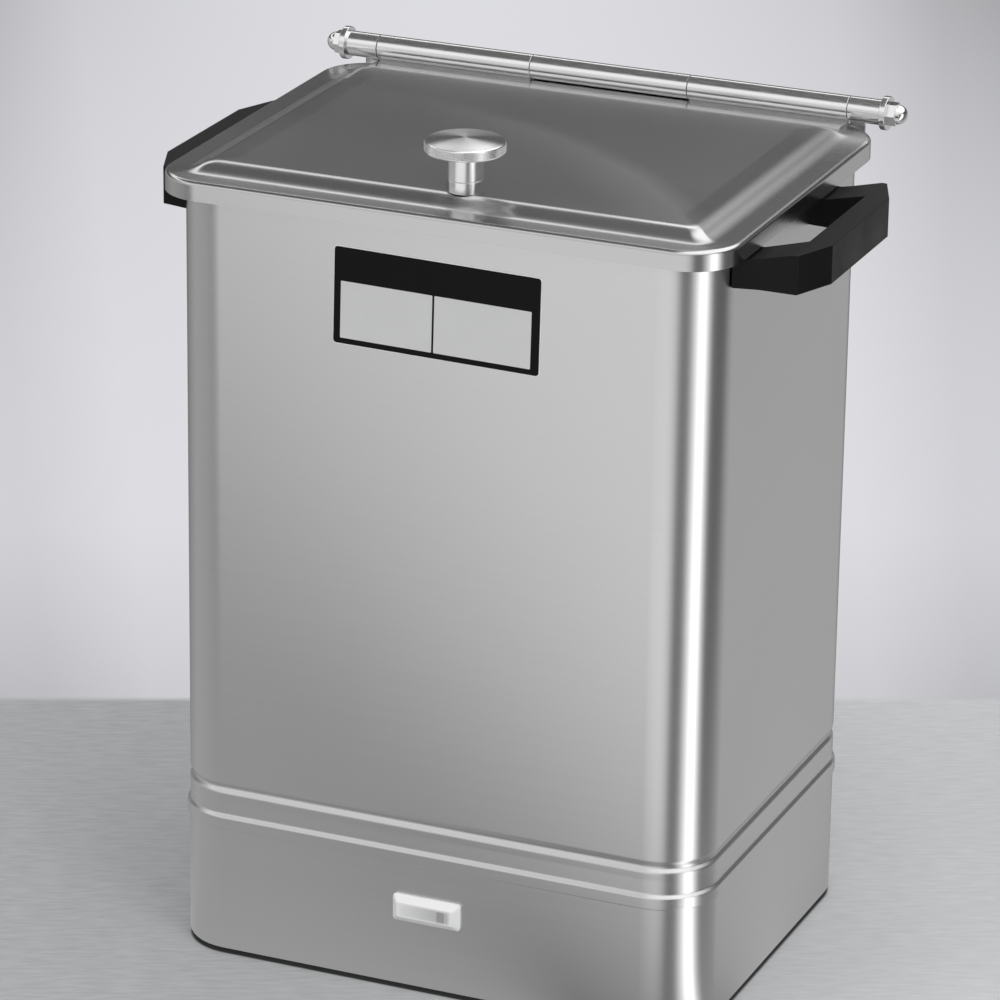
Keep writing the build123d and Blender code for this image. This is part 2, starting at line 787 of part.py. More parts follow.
# ---- Handles ----------------------------------------------------------------------------
def side_handle(reach):
    """A moulded U-shaped handle on the right wall: two arms and a straight grip."""
    half = handle_length / 2
    out = wall_x + reach
    facet_x, facet_y = handle_facet
    foot_x, foot_y = handle_foot
    inner = half - handle_arm
    grip_x = out - handle_grip
    haunch = inner - handle_haunch
    outside = [
        (wall_x, half + foot_y), (wall_x + foot_x, half), (out - facet_x, half), (out, half - facet_y),
    ]
    inside = [(grip_x, haunch), (wall_x, inner)]
    plan = outside + [(x, -y) for x, y in reversed(outside)]
    plan += [(x, -y) for x, y in reversed(inside)] + inside
    outline = make_face(Polyline(*[(x, y + handle_middle, 0) for x, y in plan], close=True))
    high = handle_low + handle_height
    body = extrude(Pos(0, 0, handle_low) * outline, handle_height)
    neck = wall_x + neck_length
    neck_high = rim_low - neck_gap
    above = make_face(Polyline(
        (wall_x, 0, neck_high), (neck, 0, neck_high), (grip_x, 0, high), (grip_x, 0, high + 1),
        (wall_x, 0, high + 1), close=True,
    ))
    body -= extrude(above, body_depth, dir=(0, 1, 0), both=True)
    for y, z in handle_screw_places():
        body -= rod_x(handle_screw_radius + running_gap, wall_x - 1, wall_x + handle_screw_depth, y, z)
    upright = body.edges().filter_by(Axis.Z)
    return fillet([edge for edge in upright if edge.center().X > out - facet_x - 1], handle_round)


def backing_plates():
    """Steel strips inside the jacket behind the handles."""
    inside = wall_x - sheet
    reach = handle_length / 2 - backing_inset
    strip = box(
        (inside - backing_thickness, inside), (handle_middle - reach, handle_middle + reach),
        (handle_low, handle_low + backing_height),
    )
    for y, z in handle_screw_places():
        strip -= rod_x(handle_screw_radius + screw_clearance, 0, wall_x, y, z)
    return mirrored(strip)


def handle_screws():
    """Screws from inside the jacket into the handles."""
    inside = wall_x - sheet - backing_thickness
    screws = []
    for y, z in handle_screw_places():
        screw = rod_x(1.8 * handle_screw_radius, inside - handle_screw_head, inside, y, z)
        screw += rod_x(handle_screw_radius, inside, wall_x + handle_screw_depth - 2, y, z)
        screws += mirrored(screw)
    return screws


# ---- Heating element ----------------------------------------------------------------------
def heating_element():
    """A sheathed hairpin across the tank's bottom, with a pin at each end."""
    gap = element_half_gap
    low = tank_floor_height - element_tail
    left = -element_left
    points = [
        (element_right, gap, low), (element_right, gap, element_z), (left, gap, element_z),
        (left, -gap, element_z), (element_right, -gap, element_z), (element_right, -gap, low),
    ]
    turn = gap - 1.0
    element = bent_tube(points, [element_bend, turn, turn, element_bend], element_radius)
    for x, y in fitting_places():
        element += rod_z(pin_radius, low - pin_length, low + 1, x, y)
    return element


def element_bushings():
    """Brass bushings through the tank's floor, a collar above and a thread below."""
    bushings = []
    low = tank_floor_height - bushing_length
    collar_top = tank_floor_top + bushing_collar
    for x, y in fitting_places():
        piece = rod_z(bushing_radius, tank_floor_top, collar_top, x, y)
        piece += rod_z(bushing_thread, low, collar_top, x, y)
        piece -= rod_z(element_radius + running_gap, low - 1, collar_top + 1, x, y)
        bushings.append(piece)
    return bushings


def element_gaskets():
    """Rubber rings under the tank's floor."""
    rings = []
    low = tank_floor_height - gasket_thickness
    for x, y in fitting_places():
        ring = rod_z(bushing_radius + 2, low, tank_floor_height, x, y)
        rings.append(ring - rod_z(bushing_thread + running_gap, low - 1, tank_floor_top, x, y))
    return rings


def element_nuts():
    """Hexagon nuts that draw the bushings down."""
    nuts = []
    high = tank_floor_height - gasket_thickness
    low = high - bushing_nut_height
    for x, y in fitting_places():
        nut = hexagon_z(2 * bushing_radius + 2, low, high, x, y)
        nuts.append(nut - rod_z(bushing_thread + running_gap, low - 1, high + 1, x, y))
    return nuts


# ---- Thermostat ---------------------------------------------------------------------------
def bracket_screw_places():
    """(x, y) of the screws in the bracket's feet."""
    reach = thermostat_size[0] / 2 + bracket_sheet + bracket_foot / 2
    return [(thermostat_x - reach, sensor_y), (thermostat_x + reach, sensor_y)]


def thermostat_body():
    """The thermostat's case, bored for the dial's spindle."""
    length, width, height = thermostat_size
    case = block(length, width, 2, thermostat_low, thermostat_high, sensor_y)
    case = Pos(thermostat_x, 0, 0) * case
    top = thermostat_low + spindle_depth + 1
    return case - rod_z(
        spindle_radius + running_gap, thermostat_low - 1, top, thermostat_x, sensor_y
    )


def thermostat_bracket():
    """A bent steel bridge that carries the thermostat over the floor plate."""
    length, width, _ = thermostat_size
    inner = length / 2
    outer = inner + bracket_sheet
    y = (sensor_y - width / 2, sensor_y + width / 2)
    top = (thermostat_low - bracket_sheet, thermostat_low)
    bridge = box((thermostat_x - outer, thermostat_x + outer), y, top)
    for side in (-1, 1):
        leg = sorted((thermostat_x + side * inner, thermostat_x + side * outer))
        foot = sorted((thermostat_x + side * inner, thermostat_x + side * (outer + bracket_foot)))
        bridge += box(leg, y, (floor_top, thermostat_low))
        bridge += box(foot, y, (floor_top, floor_top + bracket_sheet))
    bridge -= rod_z(spindle_radius + dial_gap, 0, thermostat_low + 1, thermostat_x, sensor_y)
    above_foot = floor_top + 2 * bracket_sheet
    for screw_x, screw_y in bracket_screw_places():
        bridge -= rod_z(floor_screw_radius + screw_clearance, 0, above_foot, screw_x, screw_y)
    return bridge


def thermostat_dial():
    """The setting dial, turned from below with a coin: a slotted disc on a spindle."""
    low = skirt_low + dial_drop
    dial = rod_z(dial_radius, low, low + dial_height, thermostat_x, sensor_y)
    dial += rod_z(spindle_radius, low, thermostat_low + spindle_depth, thermostat_x, sensor_y)
    width, depth = dial_slot
    reach = dial_radius * 0.75
    slot = box((-reach, reach), (-width / 2, width / 2), (low - 1, low + depth))
    return dial - Pos(thermostat_x, sensor_y, 0) * slot


def thermostat_sensor():
    """The capillary up through the tank's floor, and the bulb beside the element."""
    points = [
        (thermostat_x, sensor_y, thermostat_high), (thermostat_x, sensor_y, element_z),
        (-sensor_half_length + 1, sensor_y, element_z),
    ]
    capillary = bent_tube(points, [capillary_bend], capillary_radius)
    return capillary + rod_x(
        sensor_radius, -sensor_half_length, sensor_half_length, sensor_y, element_z
    )


def sensor_gland():
    """The brass gland where the capillary passes the tank's floor."""
    x = thermostat_x
    low = tank_floor_height - gland_length
    high = tank_floor_top + gland_collar
    gland = rod_z(gland_radius, tank_floor_top, high, x, sensor_y)
    gland += rod_z(gland_radius / 2, low, high, x, sensor_y)
    return gland - rod_z(capillary_radius + running_gap, low - 1, high + 1, x, sensor_y)


def sensor_gland_nut():
    """The nut under the gland."""
    high = tank_floor_height
    low = high - gland_nut_height
    nut = hexagon_z(2 * gland_radius - 2, low, high, thermostat_x, sensor_y)
    return nut - rod_z(
        gland_radius / 2 + running_gap, low - 1, high + 1, thermostat_x, sensor_y
    )


def sensor_clips():
    """Two clips that hold the bulb against the element."""
    clips = []
    reach = element_radius + clip_wall
    low_y = -element_half_gap - reach
    high_y = sensor_y + sensor_radius + clip_wall
    for x in (-clip_spread, clip_spread):
        low = x - clip_width / 2
        high = x + clip_width / 2
        clip = box((low, high), (low_y, high_y), (element_z - reach, element_z + reach))
        clip -= rod_x(
            element_radius + running_gap, low - 1, high + 1, -element_half_gap, element_z
        )
        clip -= rod_x(sensor_radius + running_gap, low - 1, high + 1, sensor_y, element_z)
        clips.append(clip)
    return clips


# ---- Supply side ----------------------------------------------------------------------------
def terminal_screw_places():
    """(x, y) of the screws that hold the terminal block."""
    x, y = terminal_place
    reach = terminal_size[0] / 2 - terminal_screw_inset
    return [(x - reach, y), (x + reach, y)]


def terminal_block():
    """A moulded block with three pairs of wire entries."""
    x, y = terminal_place
    length, width, height = terminal_size
    body = Pos(x, y, 0) * block(length, width, 1.5, floor_top, terminal_top)
    z = terminal_top - entry_drop
    for entry_x in (x - terminal_pitch, x, x + terminal_pitch):
        body -= rod_y(lead_radius + running_gap, y - width, y + width, entry_x, z)
    for screw_x, screw_y in terminal_screw_places():
        body -= rod_z(floor_screw_radius + screw_clearance, 0, terminal_top + 1, screw_x, screw_y)
    return body


def inner_screws():
    """Screws through the bracket's feet and the terminal block into the floor plate."""
    screws = []
    seats = [(place, floor_top + bracket_sheet) for place in bracket_screw_places()]
    seats += [(place, terminal_top) for place in terminal_screw_places()]
    for (x, y), seat in seats:
        head = rod_z(2 * floor_screw_radius, seat, seat + screw_head, x, y)
        screws.append(head + rod_z(floor_screw_radius, floor_low, seat, x, y))
    return screws


def lead(points):
    """One insulated lead through the given points, its corners rounded."""
    return bent_tube(points, [lead_bend] * (len(points) - 2), lead_radius)


def wiring():
    """Leads from the terminal block to the element, the thermostat and the lamp."""
    x, y = terminal_place
    z = terminal_top - entry_drop
    near = y - terminal_size[1] / 2
    far = y + terminal_size[1] / 2
    left = x - terminal_pitch
    right = x + terminal_pitch
    pin = tank_floor_height - element_tail - pin_length
    lamp_back = -skirt_y + lamp_body_depth
    leg = lamp_bulb_length / 3
    case_side = thermostat_x + thermostat_size[0] / 2
    case_back = sensor_y + thermostat_size[1] / 2
    case_z = thermostat_low + lead_level
    to_element = [
        (right, near + entry_depth, z), (right, near - lead_run, z),
        (element_right, near - lead_run, z), (element_right, element_half_gap, z),
        (element_right, element_half_gap, pin),
    ]
    from_thermostat = [
        (case_side, -element_half_gap, case_z), (element_right, -element_half_gap, case_z),
        (element_right, -element_half_gap, pin),
    ]
    to_thermostat = [
        (left, far - entry_depth, z), (left, far + lead_run, z),
        (thermostat_x, far + lead_run, z), (thermostat_x, far + lead_run, case_z),
        (thermostat_x, case_back, case_z),
    ]
    lamp_leads = []
    for start, end, run in ((-leg, left, 2 * lead_run), (leg, x, 2.5 * lead_run)):
        drop = lamp_back + run
        turn = near - run
        lamp_leads.append([
            (start, lamp_back, lamp_z), (start, drop, lamp_z), (start, drop, z),
            (start, turn, z), (end, turn, z), (end, near + entry_depth, z),
        ])
    return [lead(points) for points in [to_element, from_thermostat, to_thermostat] + lamp_leads]


def cord_gland():
    """The gland where the supply cord enters: a hexagon outside, its thread inside."""
    x = cord_place[0]
    outside = Plane(origin=(x, skirt_y, cord_z), x_dir=(1, 0, 0), z_dir=(0, 1, 0))
    corner = cord_nut_across / 2 / cos(pi / 6)
    gland = extrude(outside * RegularPolygon(corner, 6), cord_flange_height)
    outer_end = skirt_y + cord_flange_height + cord_stub
    gland += rod_y(cord_thread, skirt_y - cord_thread_length, outer_end, x, cord_z)
    return gland - rod_y(cord_radius, 0, body_depth, x, cord_z)


def cord_gland_cap():
    """The domed cap that grips the cord."""
    x = cord_place[0]
    low = skirt_y + cord_flange_height
    high = low + cord_cap_length
    cap = rod_y(cord_thread + cord_cap_wall, low, high, x, cord_z)
    cap = fillet(cap.edges().group_by(Axis.Y)[-1], cord_cap_wall)
    cap -= rod_y(cord_thread + running_gap, low - 1, low + cord_stub + running_gap, x, cord_z)
    return cap - rod_y(cord_radius, 0, body_depth, x, cord_z)


def cord_gland_nut():
    """The locknut inside the skirt."""
    x = cord_place[0]
    high = skirt_y - base_sheet
    inside = Plane(origin=(x, high, cord_z), x_dir=(1, 0, 0), z_dir=(0, -1, 0))
    corner = cord_nut_across / 2 / cos(pi / 6)
    nut = extrude(inside * RegularPolygon(corner, 6), cord_nut_height)
    return nut - rod_y(cord_thread + running_gap, 0, body_depth, x, cord_z)


# ---- Rack -------------------------------------------------------------------------------
def divider_places():
    """Y of the rack's dividers, one more than its slots."""
    pitch = 2 * rack_depth / rack_slots
    return [i * pitch - rack_depth for i in range(rack_slots + 1)]


def rack_dividers():
    """Welded wire grilles that keep the packs apart."""
    reach = rack_half + rack_stub
    grilles = []
    for y in divider_places():
        grille = rod_x(rack_wire, -reach, reach, y, rack_low)
        grille += rod_x(rack_wire, -reach, reach, y, rack_high)
        for i in range(rack_rungs):
            grille += rod_z(rack_rung, rack_low, rack_high, i * rung_pitch - rack_half, y)
        grilles.append(grille)
    return grilles


def rack_rails():
    """Four wires along the rack's sides that tie the dividers together."""
    reach = rack_depth + rack_overlap
    rails = []
    for z in (rack_low + rack_rail_inset, rack_high - rack_rail_inset):
        rails += mirrored(rod_y(rack_wire, -reach, reach, rail_x, z))
    return rails


def rack_floor_rods():
    """Three wires under the dividers that the packs stand on."""
    z = rack_low - 2 * rack_wire - rack_weld_gap
    reach = rack_depth + rack_overlap
    return [rod_y(rack_wire, -reach, reach, x, z) for x in (-rung_pitch, 0, rung_pitch)]


def rack_legs():
    """Four legs, below the lower side rails, down to the tank's floor."""
    high = rack_low + rack_rail_inset - rack_wire - rack_weld_gap
    low = tank_floor_top + rack_seat_gap
    y = rack_depth - rack_leg_inset
    legs = []
    for side in (-1, 1):
        legs += mirrored(rod_z(rack_wire, low, high, rail_x, side * y))
    return legs


# ---- Build -----------------------------------------------------------------------------
tank_front, tank_rear = tank_walls()
nodes = {
    "outer_jacket": jacket(),
    "base_skirt": base_skirt(),
    "base_floor_plate": base_floor(),
    "rubber_feet": rubber_feet(),
    "floor_plate_screws": floor_screws(),
    "front_label_plate": front_plate(),
    "pilot_lamp_lens": lamp_lens(),
    "pilot_lamp_housing": lamp_body(),
    "pilot_lamp_bulb": lamp_bulb(),
    "pilot_lamp_clip": lamp_clip(),
    "tank_front_wall": tank_front,
    "tank_rear_wall": tank_rear,
    "tank_floor": tank_floor(),
    "tank_rim": tank_rim(),
    "insulation_blanket": insulation_blanket(),
    "lid_pan": lid_pan(),
    "lid_knob": lid_knob(),
    "lid_knob_spacer": knob_spacer(),
    "lid_knob_washer": knob_washer(),
    "lid_knob_screw": knob_screw(),
    "hinge_lid_leaf": lid_leaf(),
    "hinge_body_leaf": body_leaf(),
    "hinge_rod": hinge_rod(),
    "hinge_end_flanges": hinge_flanges(),
    "hinge_acorn_nuts": acorn_nuts(),
    "hinge_rivets": strap_rivets(),
    "handle_right": side_handle(handle_reach[0]),
    "handle_left": mirror(side_handle(handle_reach[1]), about=Plane.YZ),
    "handle_backing_plates": backing_plates(),
    "handle_screws": handle_screws(),
    "heating_element": heating_element(),
    "element_bushings": element_bushings(),
    "element_gaskets": element_gaskets(),
    "element_nuts": element_nuts(),
    "thermostat_case": thermostat_body(),
    "thermostat_bracket": thermostat_bracket(),
    "thermostat_dial": thermostat_dial(),
    "thermostat_sensor": thermostat_sensor(),
    "sensor_gland": sensor_gland(),
    "sensor_gland_nut": sensor_gland_nut(),
    "sensor_clips": sensor_clips(),
    "terminal_block": terminal_block(),
    "inner_screws": inner_screws(),
    "wiring_leads": wiring(),
    "cord_gland": cord_gland(),
    "cord_gland_cap": cord_gland_cap(),
    "cord_gland_locknut": cord_gland_nut(),
    "rack_dividers": rack_dividers(),
    "rack_side_rails": rack_rails(),
    "rack_floor_rods": rack_floor_rods(),
    "rack_legs": rack_legs(),
}

os.makedirs("parts", exist_ok=True)
for name, shape in nodes.items():
    save(name, shape)
print(len(nodes), "nodes written")
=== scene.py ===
# %% [markdown]
# # Dressing a hot pack heater
#
# The CAD frame gives a heater that works: a tank in a stainless jacket, a hinged lid, side
# handles, a rack and the electrics. Here it gets the look of the real thing. Sheet metal is
# rebuilt as thin pressed skins, turned and moulded pieces get their soft edges, and every
# piece gets a procedural finish.

# %% Load the frame
import json
from math import cos, pi, radians, sin, tan

import bmesh
import bpy
from mathutils import Matrix, Vector, noise


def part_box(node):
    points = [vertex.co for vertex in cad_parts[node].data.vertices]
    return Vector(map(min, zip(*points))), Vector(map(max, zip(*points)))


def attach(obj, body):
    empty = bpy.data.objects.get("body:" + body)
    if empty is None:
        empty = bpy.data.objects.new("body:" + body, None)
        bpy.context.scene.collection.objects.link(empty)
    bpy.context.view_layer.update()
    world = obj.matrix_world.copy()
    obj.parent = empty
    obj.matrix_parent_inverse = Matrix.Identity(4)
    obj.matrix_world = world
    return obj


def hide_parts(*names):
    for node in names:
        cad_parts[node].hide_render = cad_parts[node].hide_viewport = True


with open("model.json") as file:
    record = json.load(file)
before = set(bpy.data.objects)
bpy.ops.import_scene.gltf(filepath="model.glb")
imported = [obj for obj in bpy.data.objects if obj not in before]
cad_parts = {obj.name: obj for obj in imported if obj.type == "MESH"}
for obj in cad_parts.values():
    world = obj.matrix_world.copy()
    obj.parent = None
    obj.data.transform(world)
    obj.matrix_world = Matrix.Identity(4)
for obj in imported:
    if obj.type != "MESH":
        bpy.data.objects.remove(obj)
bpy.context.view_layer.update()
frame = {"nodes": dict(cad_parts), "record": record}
nodes = frame["nodes"]
record = frame["record"]
slot_of = {part["node"]: part["material_slot"] for part in record["subparts"]}
body_of = {node: body for body, names in record["behaviour"]["bodies"].items() for node in names}
mm = 0.001

wall_low, wall_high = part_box("tank_rim")
wall_width = wall_high.x - wall_low.x
wall_depth = wall_high.y - wall_low.y
body_x = (wall_high.x + wall_low.x) / 2
body_y = (wall_high.y + wall_low.y) / 2

# %% [markdown]
# ## Camera
#
# The photograph looks down at the front right corner through a long lens. Its place, turn and
# lens were worked out from the straight edges of the body and lid, so the camera comes first
# and everything else can be judged through it.

# %% Camera
view_azimuth, view_elevation, view_roll = radians(22.817), radians(20.732), radians(0.817)
view_from = Vector((body_x + 0.900547, body_y - 2.163709, 1.098187))
focal_pixels = 5333.6
picture_width = 1000
sensor_width = 36


def new_object(name, data):
    """An object in the scene, with nothing moved."""
    obj = bpy.data.objects.new(name, data)
    bpy.context.scene.collection.objects.link(obj)
    return obj


def place_camera():
    """A camera at view_from that looks down along the three view angles."""
    level = Vector((cos(view_azimuth), sin(view_azimuth), 0))
    away = Vector((sin(view_azimuth), -cos(view_azimuth), 0))
    backward = away * cos(view_elevation) + Vector((0, 0, sin(view_elevation)))
    upward = backward.cross(level)
    right = level * cos(view_roll) + upward * sin(view_roll)
    up = upward * cos(view_roll) - level * sin(view_roll)
    camera = new_object("camera", bpy.data.cameras.new("camera"))
    turn = Matrix((right, up, backward)).transposed().to_4x4()
    camera.matrix_world = Matrix.Translation(view_from) @ turn
    camera.data.sensor_width = sensor_width
    camera.data.lens = sensor_width * focal_pixels / picture_width
    camera.data.clip_end = 30
    bpy.context.scene.camera = camera
    return camera


camera = place_camera()
print("camera:", round(camera.data.lens), "mm lens,", round(view_from.z, 2), "m above the floor")

# %% [markdown]
# ## Helpers for pieces
#
# A piece is a mesh object that stays at the origin, with its place in its mesh. It rides on
# one body of the frame, and mostly it stands for a CAD node, which it then hides. Shading is
# smooth, with sharp edges only past an angle and flat faces kept flat.


# %% Pieces
def built(name, build):
    """An object from a mesh that is being built."""
    mesh = bpy.data.meshes.new(name)
    build.to_mesh(mesh)
    build.free()
    return new_object(name, mesh)


def merged(mesh):
    """A mesh ready to edit, with its doubled points merged."""
    build = bmesh.new()
    build.from_mesh(mesh)
    bmesh.ops.remove_doubles(build, verts=build.verts, dist=0.002 * mm)
    return build


def ride_with(obj, node):
    """The object rides on a CAD node's body."""
    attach(obj, body_of[node])


def stand_for(obj, node):
    """The object replaces a CAD node."""
    ride_with(obj, node)
    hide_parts(node)


def smooth(obj, angle):
    """Smooth shading, with sharp edges past an angle and flat faces kept flat."""
    obj.data.shade_smooth()
    obj.data.set_sharp_from_angle(angle=radians(angle))
    weighted = obj.modifiers.new("flat faces stay flat", "WEIGHTED_NORMAL")
    weighted.keep_sharp = True


def plain_mesh(obj):
    """The object's mesh with its modifiers worked in."""
    depsgraph = bpy.context.evaluated_depsgraph_get()
    mesh = bpy.data.meshes.new_from_object(obj.evaluated_get(depsgraph))
    obj.modifiers.clear()
    obj.data = mesh


def islands(node):
    """The separate pieces of a CAD node, each as its (low, high) corners."""
    build = merged(nodes[node].data)
    left = set(build.verts)
    boxes = []
    while left:
        edge = [left.pop()]
        found = []
        while edge:
            vert = edge.pop()
            found.append(vert.co.copy())
            near = {link.other_vert(vert) for link in vert.link_edges} & left
            left -= near
            edge.extend(near)
        boxes.append(tuple(Vector(pick(axis) for axis in zip(*found)) for pick in (min, max)))
    build.free()
    return sorted(boxes, key=lambda box: tuple(box[0]))


# %% [markdown]
# ## Helpers for skins
#
# Most of this object is sheet bent round a rounded rectangle, or metal turned on a lathe. Both
# are a stack of rings. The skin helper joins them and lays a map over the faces whose u runs
# along the ring, so that the brushed finish knows which way the grain goes.


# %% Skins
def rounded_rectangle(width, depth, corner, steps=10):
    """Points round a rectangle with rounded corners, about (0, 0)."""
    corner = max(corner, 0.2 * mm)
    points = []
    for quarter, (side_x, side_y) in enumerate(((1, 1), (-1, 1), (-1, -1), (1, -1))):
        for step in range(steps + 1):
            angle = radians(90 * (quarter + step / steps))
            points.append((
                side_x * (width / 2 - corner) + corner * cos(angle),
                side_y * (depth / 2 - corner) + corner * sin(angle),
            ))
    return points


def level_ring(width, depth, corner, z, y=0.0, steps=10):
    """A level rounded rectangle about the body's middle."""
    outline = rounded_rectangle(width, depth, corner, steps)
    return [Vector((body_x + across, body_y + y + along, z)) for across, along in outline]


def circle(centre, radius, z, steps=72):
    """A level circle."""
    turns = [2 * pi * step / steps for step in range(steps)]
    return [Vector((centre.x + radius * cos(a), centre.y + radius * sin(a), z)) for a in turns]


def skin(name, rings, closed=False, ends=()):
    """A mesh over a stack of rings: closed joins last to first, ends names rings to fill."""
    build = bmesh.new()
    rows = [[build.verts.new(point) for point in points] for points in rings]
    grain = build.loops.layers.uv.new("grain")
    count = len(rows[0])
    height = 0.0
    for lower, upper in zip(rows, rows[1:] + (rows[:1] if closed else [])):
        rise = max((lower[0].co - upper[0].co).length, 1e-7)
        run = 0.0
        for i in range(count):
            j = (i + 1) % count
            length = max((lower[i].co - lower[j].co).length, (upper[i].co - upper[j].co).length)
            face = build.faces.new((lower[i], lower[j], upper[j], upper[i]))
            reach = run + length
            places = ((run, height), (reach, height), (reach, height + rise), (run, height + rise))
            for loop, place in zip(face.loops, places):
                loop[grain].uv = place
            run = reach
        height += rise
    for end in ends:
        face = build.faces.new(rows[end])
        for loop in face.loops:
            loop[grain].uv = loop.vert.co.xy
    bmesh.ops.recalc_face_normals(build, faces=build.faces)
    return built(name, build)


def rounded(corners, radii, steps=5):
    """A profile of (a, b) corners, each inner one rounded by its radius."""
    points = [Vector(corners[0])]
    for before, corner, after, radius in zip(corners, corners[1:], corners[2:], radii):
        corner = Vector(corner)
        inward = (Vector(before) - corner).normalized()
        outward = (Vector(after) - corner).normalized()
        half = inward.angle(outward) / 2
        middle = corner + (inward + outward).normalized() * (radius / sin(half))
        start = (corner + inward * radius / tan(half) - middle).normalized()
        end = (corner + outward * radius / tan(half) - middle).normalized()
        points += [middle + start.slerp(end, step / steps) * radius for step in range(steps + 1)]
    points.append(Vector(corners[-1]))
    return points


# %% [markdown]
# ## Helper for soft edges
#
# A moulded handle or a machined nut has the right shape in the CAD, but its edges are
# perfectly sharp there. Real ones are broken by a fraction of a millimetre, and that narrow
# band catches the light. The copy's doubled points are merged before the bevel.


# %% Soft edges
def softened(node, width, segments):
    """A copy of a CAD node with its edges rounded, standing for the node."""
    obj = new_object(f"{node}_soft", nodes[node].data.copy())
    build = merged(obj.data)
    bmesh.ops.dissolve_limit(build, angle_limit=radians(0.5), verts=build.verts, edges=build.edges)
    build.to_mesh(obj.data)
    build.free()
    bevel = obj.modifiers.new("soft edges", "BEVEL")
    bevel.width = width
    bevel.segments = segments
    bevel.limit_method = "ANGLE"
    bevel.angle_limit = radians(30)
    plain_mesh(obj)
    smooth(obj, 35)
    stand_for(obj, node)


# %% [markdown]
# ## Helpers for finishes
#
# Each finish is a small node tree. Its pattern is noise in metres of the object, stretched
# along the grain where there is one, and it drives the colour, the roughness and a slight
# relief together.


# %% Node helpers
def shader_tree(name):
    """A new material, its node tree and its shader."""
    material = bpy.data.materials.new(name)
    material.use_nodes = True
    return material, material.node_tree, material.node_tree.nodes["Principled BSDF"]


def feed(tree, node, inputs):
    """Links or sets a node's inputs, by their names or numbers."""
    for name, value in inputs.items():
        if isinstance(value, bpy.types.NodeSocket):
            tree.links.new(value, node.inputs[name])
        else:
            node.inputs[name].default_value = value


def add(tree, kind, inputs=None, **settings):
    """A node with its settings and its inputs."""
    node = tree.nodes.new(kind)
    for key, value in settings.items():
        setattr(node, key, value)
    feed(tree, node, inputs or {})
    return node


def calculate(tree, operation, *values):
    """A maths node on numbers and sockets."""
    return add(tree, "ShaderNodeMath", dict(enumerate(values)), operation=operation).outputs["Value"]


def product(tree, *values):
    """Numbers and sockets multiplied together."""
    result = values[0]
    for value in values[1:]:
        result = calculate(tree, "MULTIPLY", result, value)
    return result


def difference(tree, first, second):
    """The first number or socket less the second."""
    return calculate(tree, "SUBTRACT", first, second)


def split(tree, place):
    """The X, Y and Z sockets of a vector."""
    return add(tree, "ShaderNodeSeparateXYZ", {"Vector": place}).outputs


def object_place(tree):
    """The shaded point's place in metres. Objects stay at the origin, so it is the scene's place."""
    return add(tree, "ShaderNodeTexCoord").outputs["Object"]


def pattern(tree, scale, detail=3.0, stretch=(1.0, 1.0, 1.0), place=None):
    """Noise in metres, at the object's place or another, long where stretch is small."""
    where = object_place(tree) if place is None else place
    mapping = add(tree, "ShaderNodeMapping", {"Vector": where, "Scale": stretch})
    texture = add(tree, "ShaderNodeTexNoise", {
        "Vector": mapping.outputs["Vector"], "Scale": scale, "Detail": detail,
    })
    return texture.outputs["Fac"]


def remap(tree, source, low, high, start=0.3, end=0.7):
    """A value moved from the range start to end into the range low to high."""
    node = add(tree, "ShaderNodeMapRange", {
        "Value": source, "From Min": start, "From Max": end, "To Min": low, "To Max": high,
    })
    return node.outputs["Result"]


def within(tree, coordinate, centre, half, soft):
    """1 where a coordinate is within half of the centre, with a soft edge."""
    offset = calculate(tree, "ABSOLUTE", difference(tree, coordinate, centre))
    return remap(tree, offset, 1.0, 0.0, half - soft, half + soft)


def mixed(tree, factor, first, second):
    """A number between two numbers or sockets."""
    return add(tree, "ShaderNodeMix", {"Factor": factor, "A": first, "B": second}).outputs["Result"]


def blend_colours(tree, factor, dark, light):
    """Two colours mixed by a value."""
    colours = {"Factor": factor, "A": (*dark, 1), "B": (*light, 1)}
    return add(tree, "ShaderNodeMix", colours, data_type="RGBA").outputs["Result"]


def grey(value):
    """A neutral colour."""
    return (value, value, value)


def relief(tree, shader, height, strength, distance):
    """A small relief from a height value."""
    bump = add(tree, "ShaderNodeBump", {"Height": height, "Strength": strength, "Distance": distance})
    feed(tree, shader, {"Normal": bump.outputs["Normal"]})


# %% [markdown]
# ## Stainless steel
#
# The sheets are brushed along their length, and fine scratches spread a reflection across
# themselves. So the shader is anisotropic, with its direction taken from the skin's map. That
# spread turns the light at the front right into one tall white streak on the rounded corner,
# and leaves the flat walls with a soft gradient from top to bottom. The lid's panel also has
# a painted sheen: a soft lighter arc painted into its colour, and only on its upper side.


# %% Steel
def brushed_steel(name, shade, roughness, stretch, spread=0.0):
    """Brushed sheet: fine streaks, faint handling marks, and reflections spread by the grain."""
    material, tree, shader = shader_tree(name)
    streaks = pattern(tree, 1.0, 2.0, stretch)
    worn = remap(tree, pattern(tree, 7.0, 3.0), -0.012, 0.018)
    rough = remap(tree, streaks, roughness - 0.006, roughness + 0.006)
    feed(tree, shader, {
        "Base Color": blend_colours(tree, streaks, grey(shade * 0.98), grey(shade * 1.02)),
        "Roughness": calculate(tree, "ADD", rough, worn),
        "Metallic": 1.0,
    })
    relief(tree, shader, streaks, 0.01, 0.02 * mm)
    if spread:
        tangent = add(tree, "ShaderNodeTangent", direction_type="UV_MAP", uv_map="grain")
        feed(tree, shader, {
            "Tangent": tangent.outputs["Tangent"], "Anisotropic": spread, "Anisotropic Rotation": 0.25,
        })
    return material


painted_sheen_radius = 277 * mm
painted_sheen_centre = (body_x - 120 * mm, body_y - 234 * mm, 387 * mm)


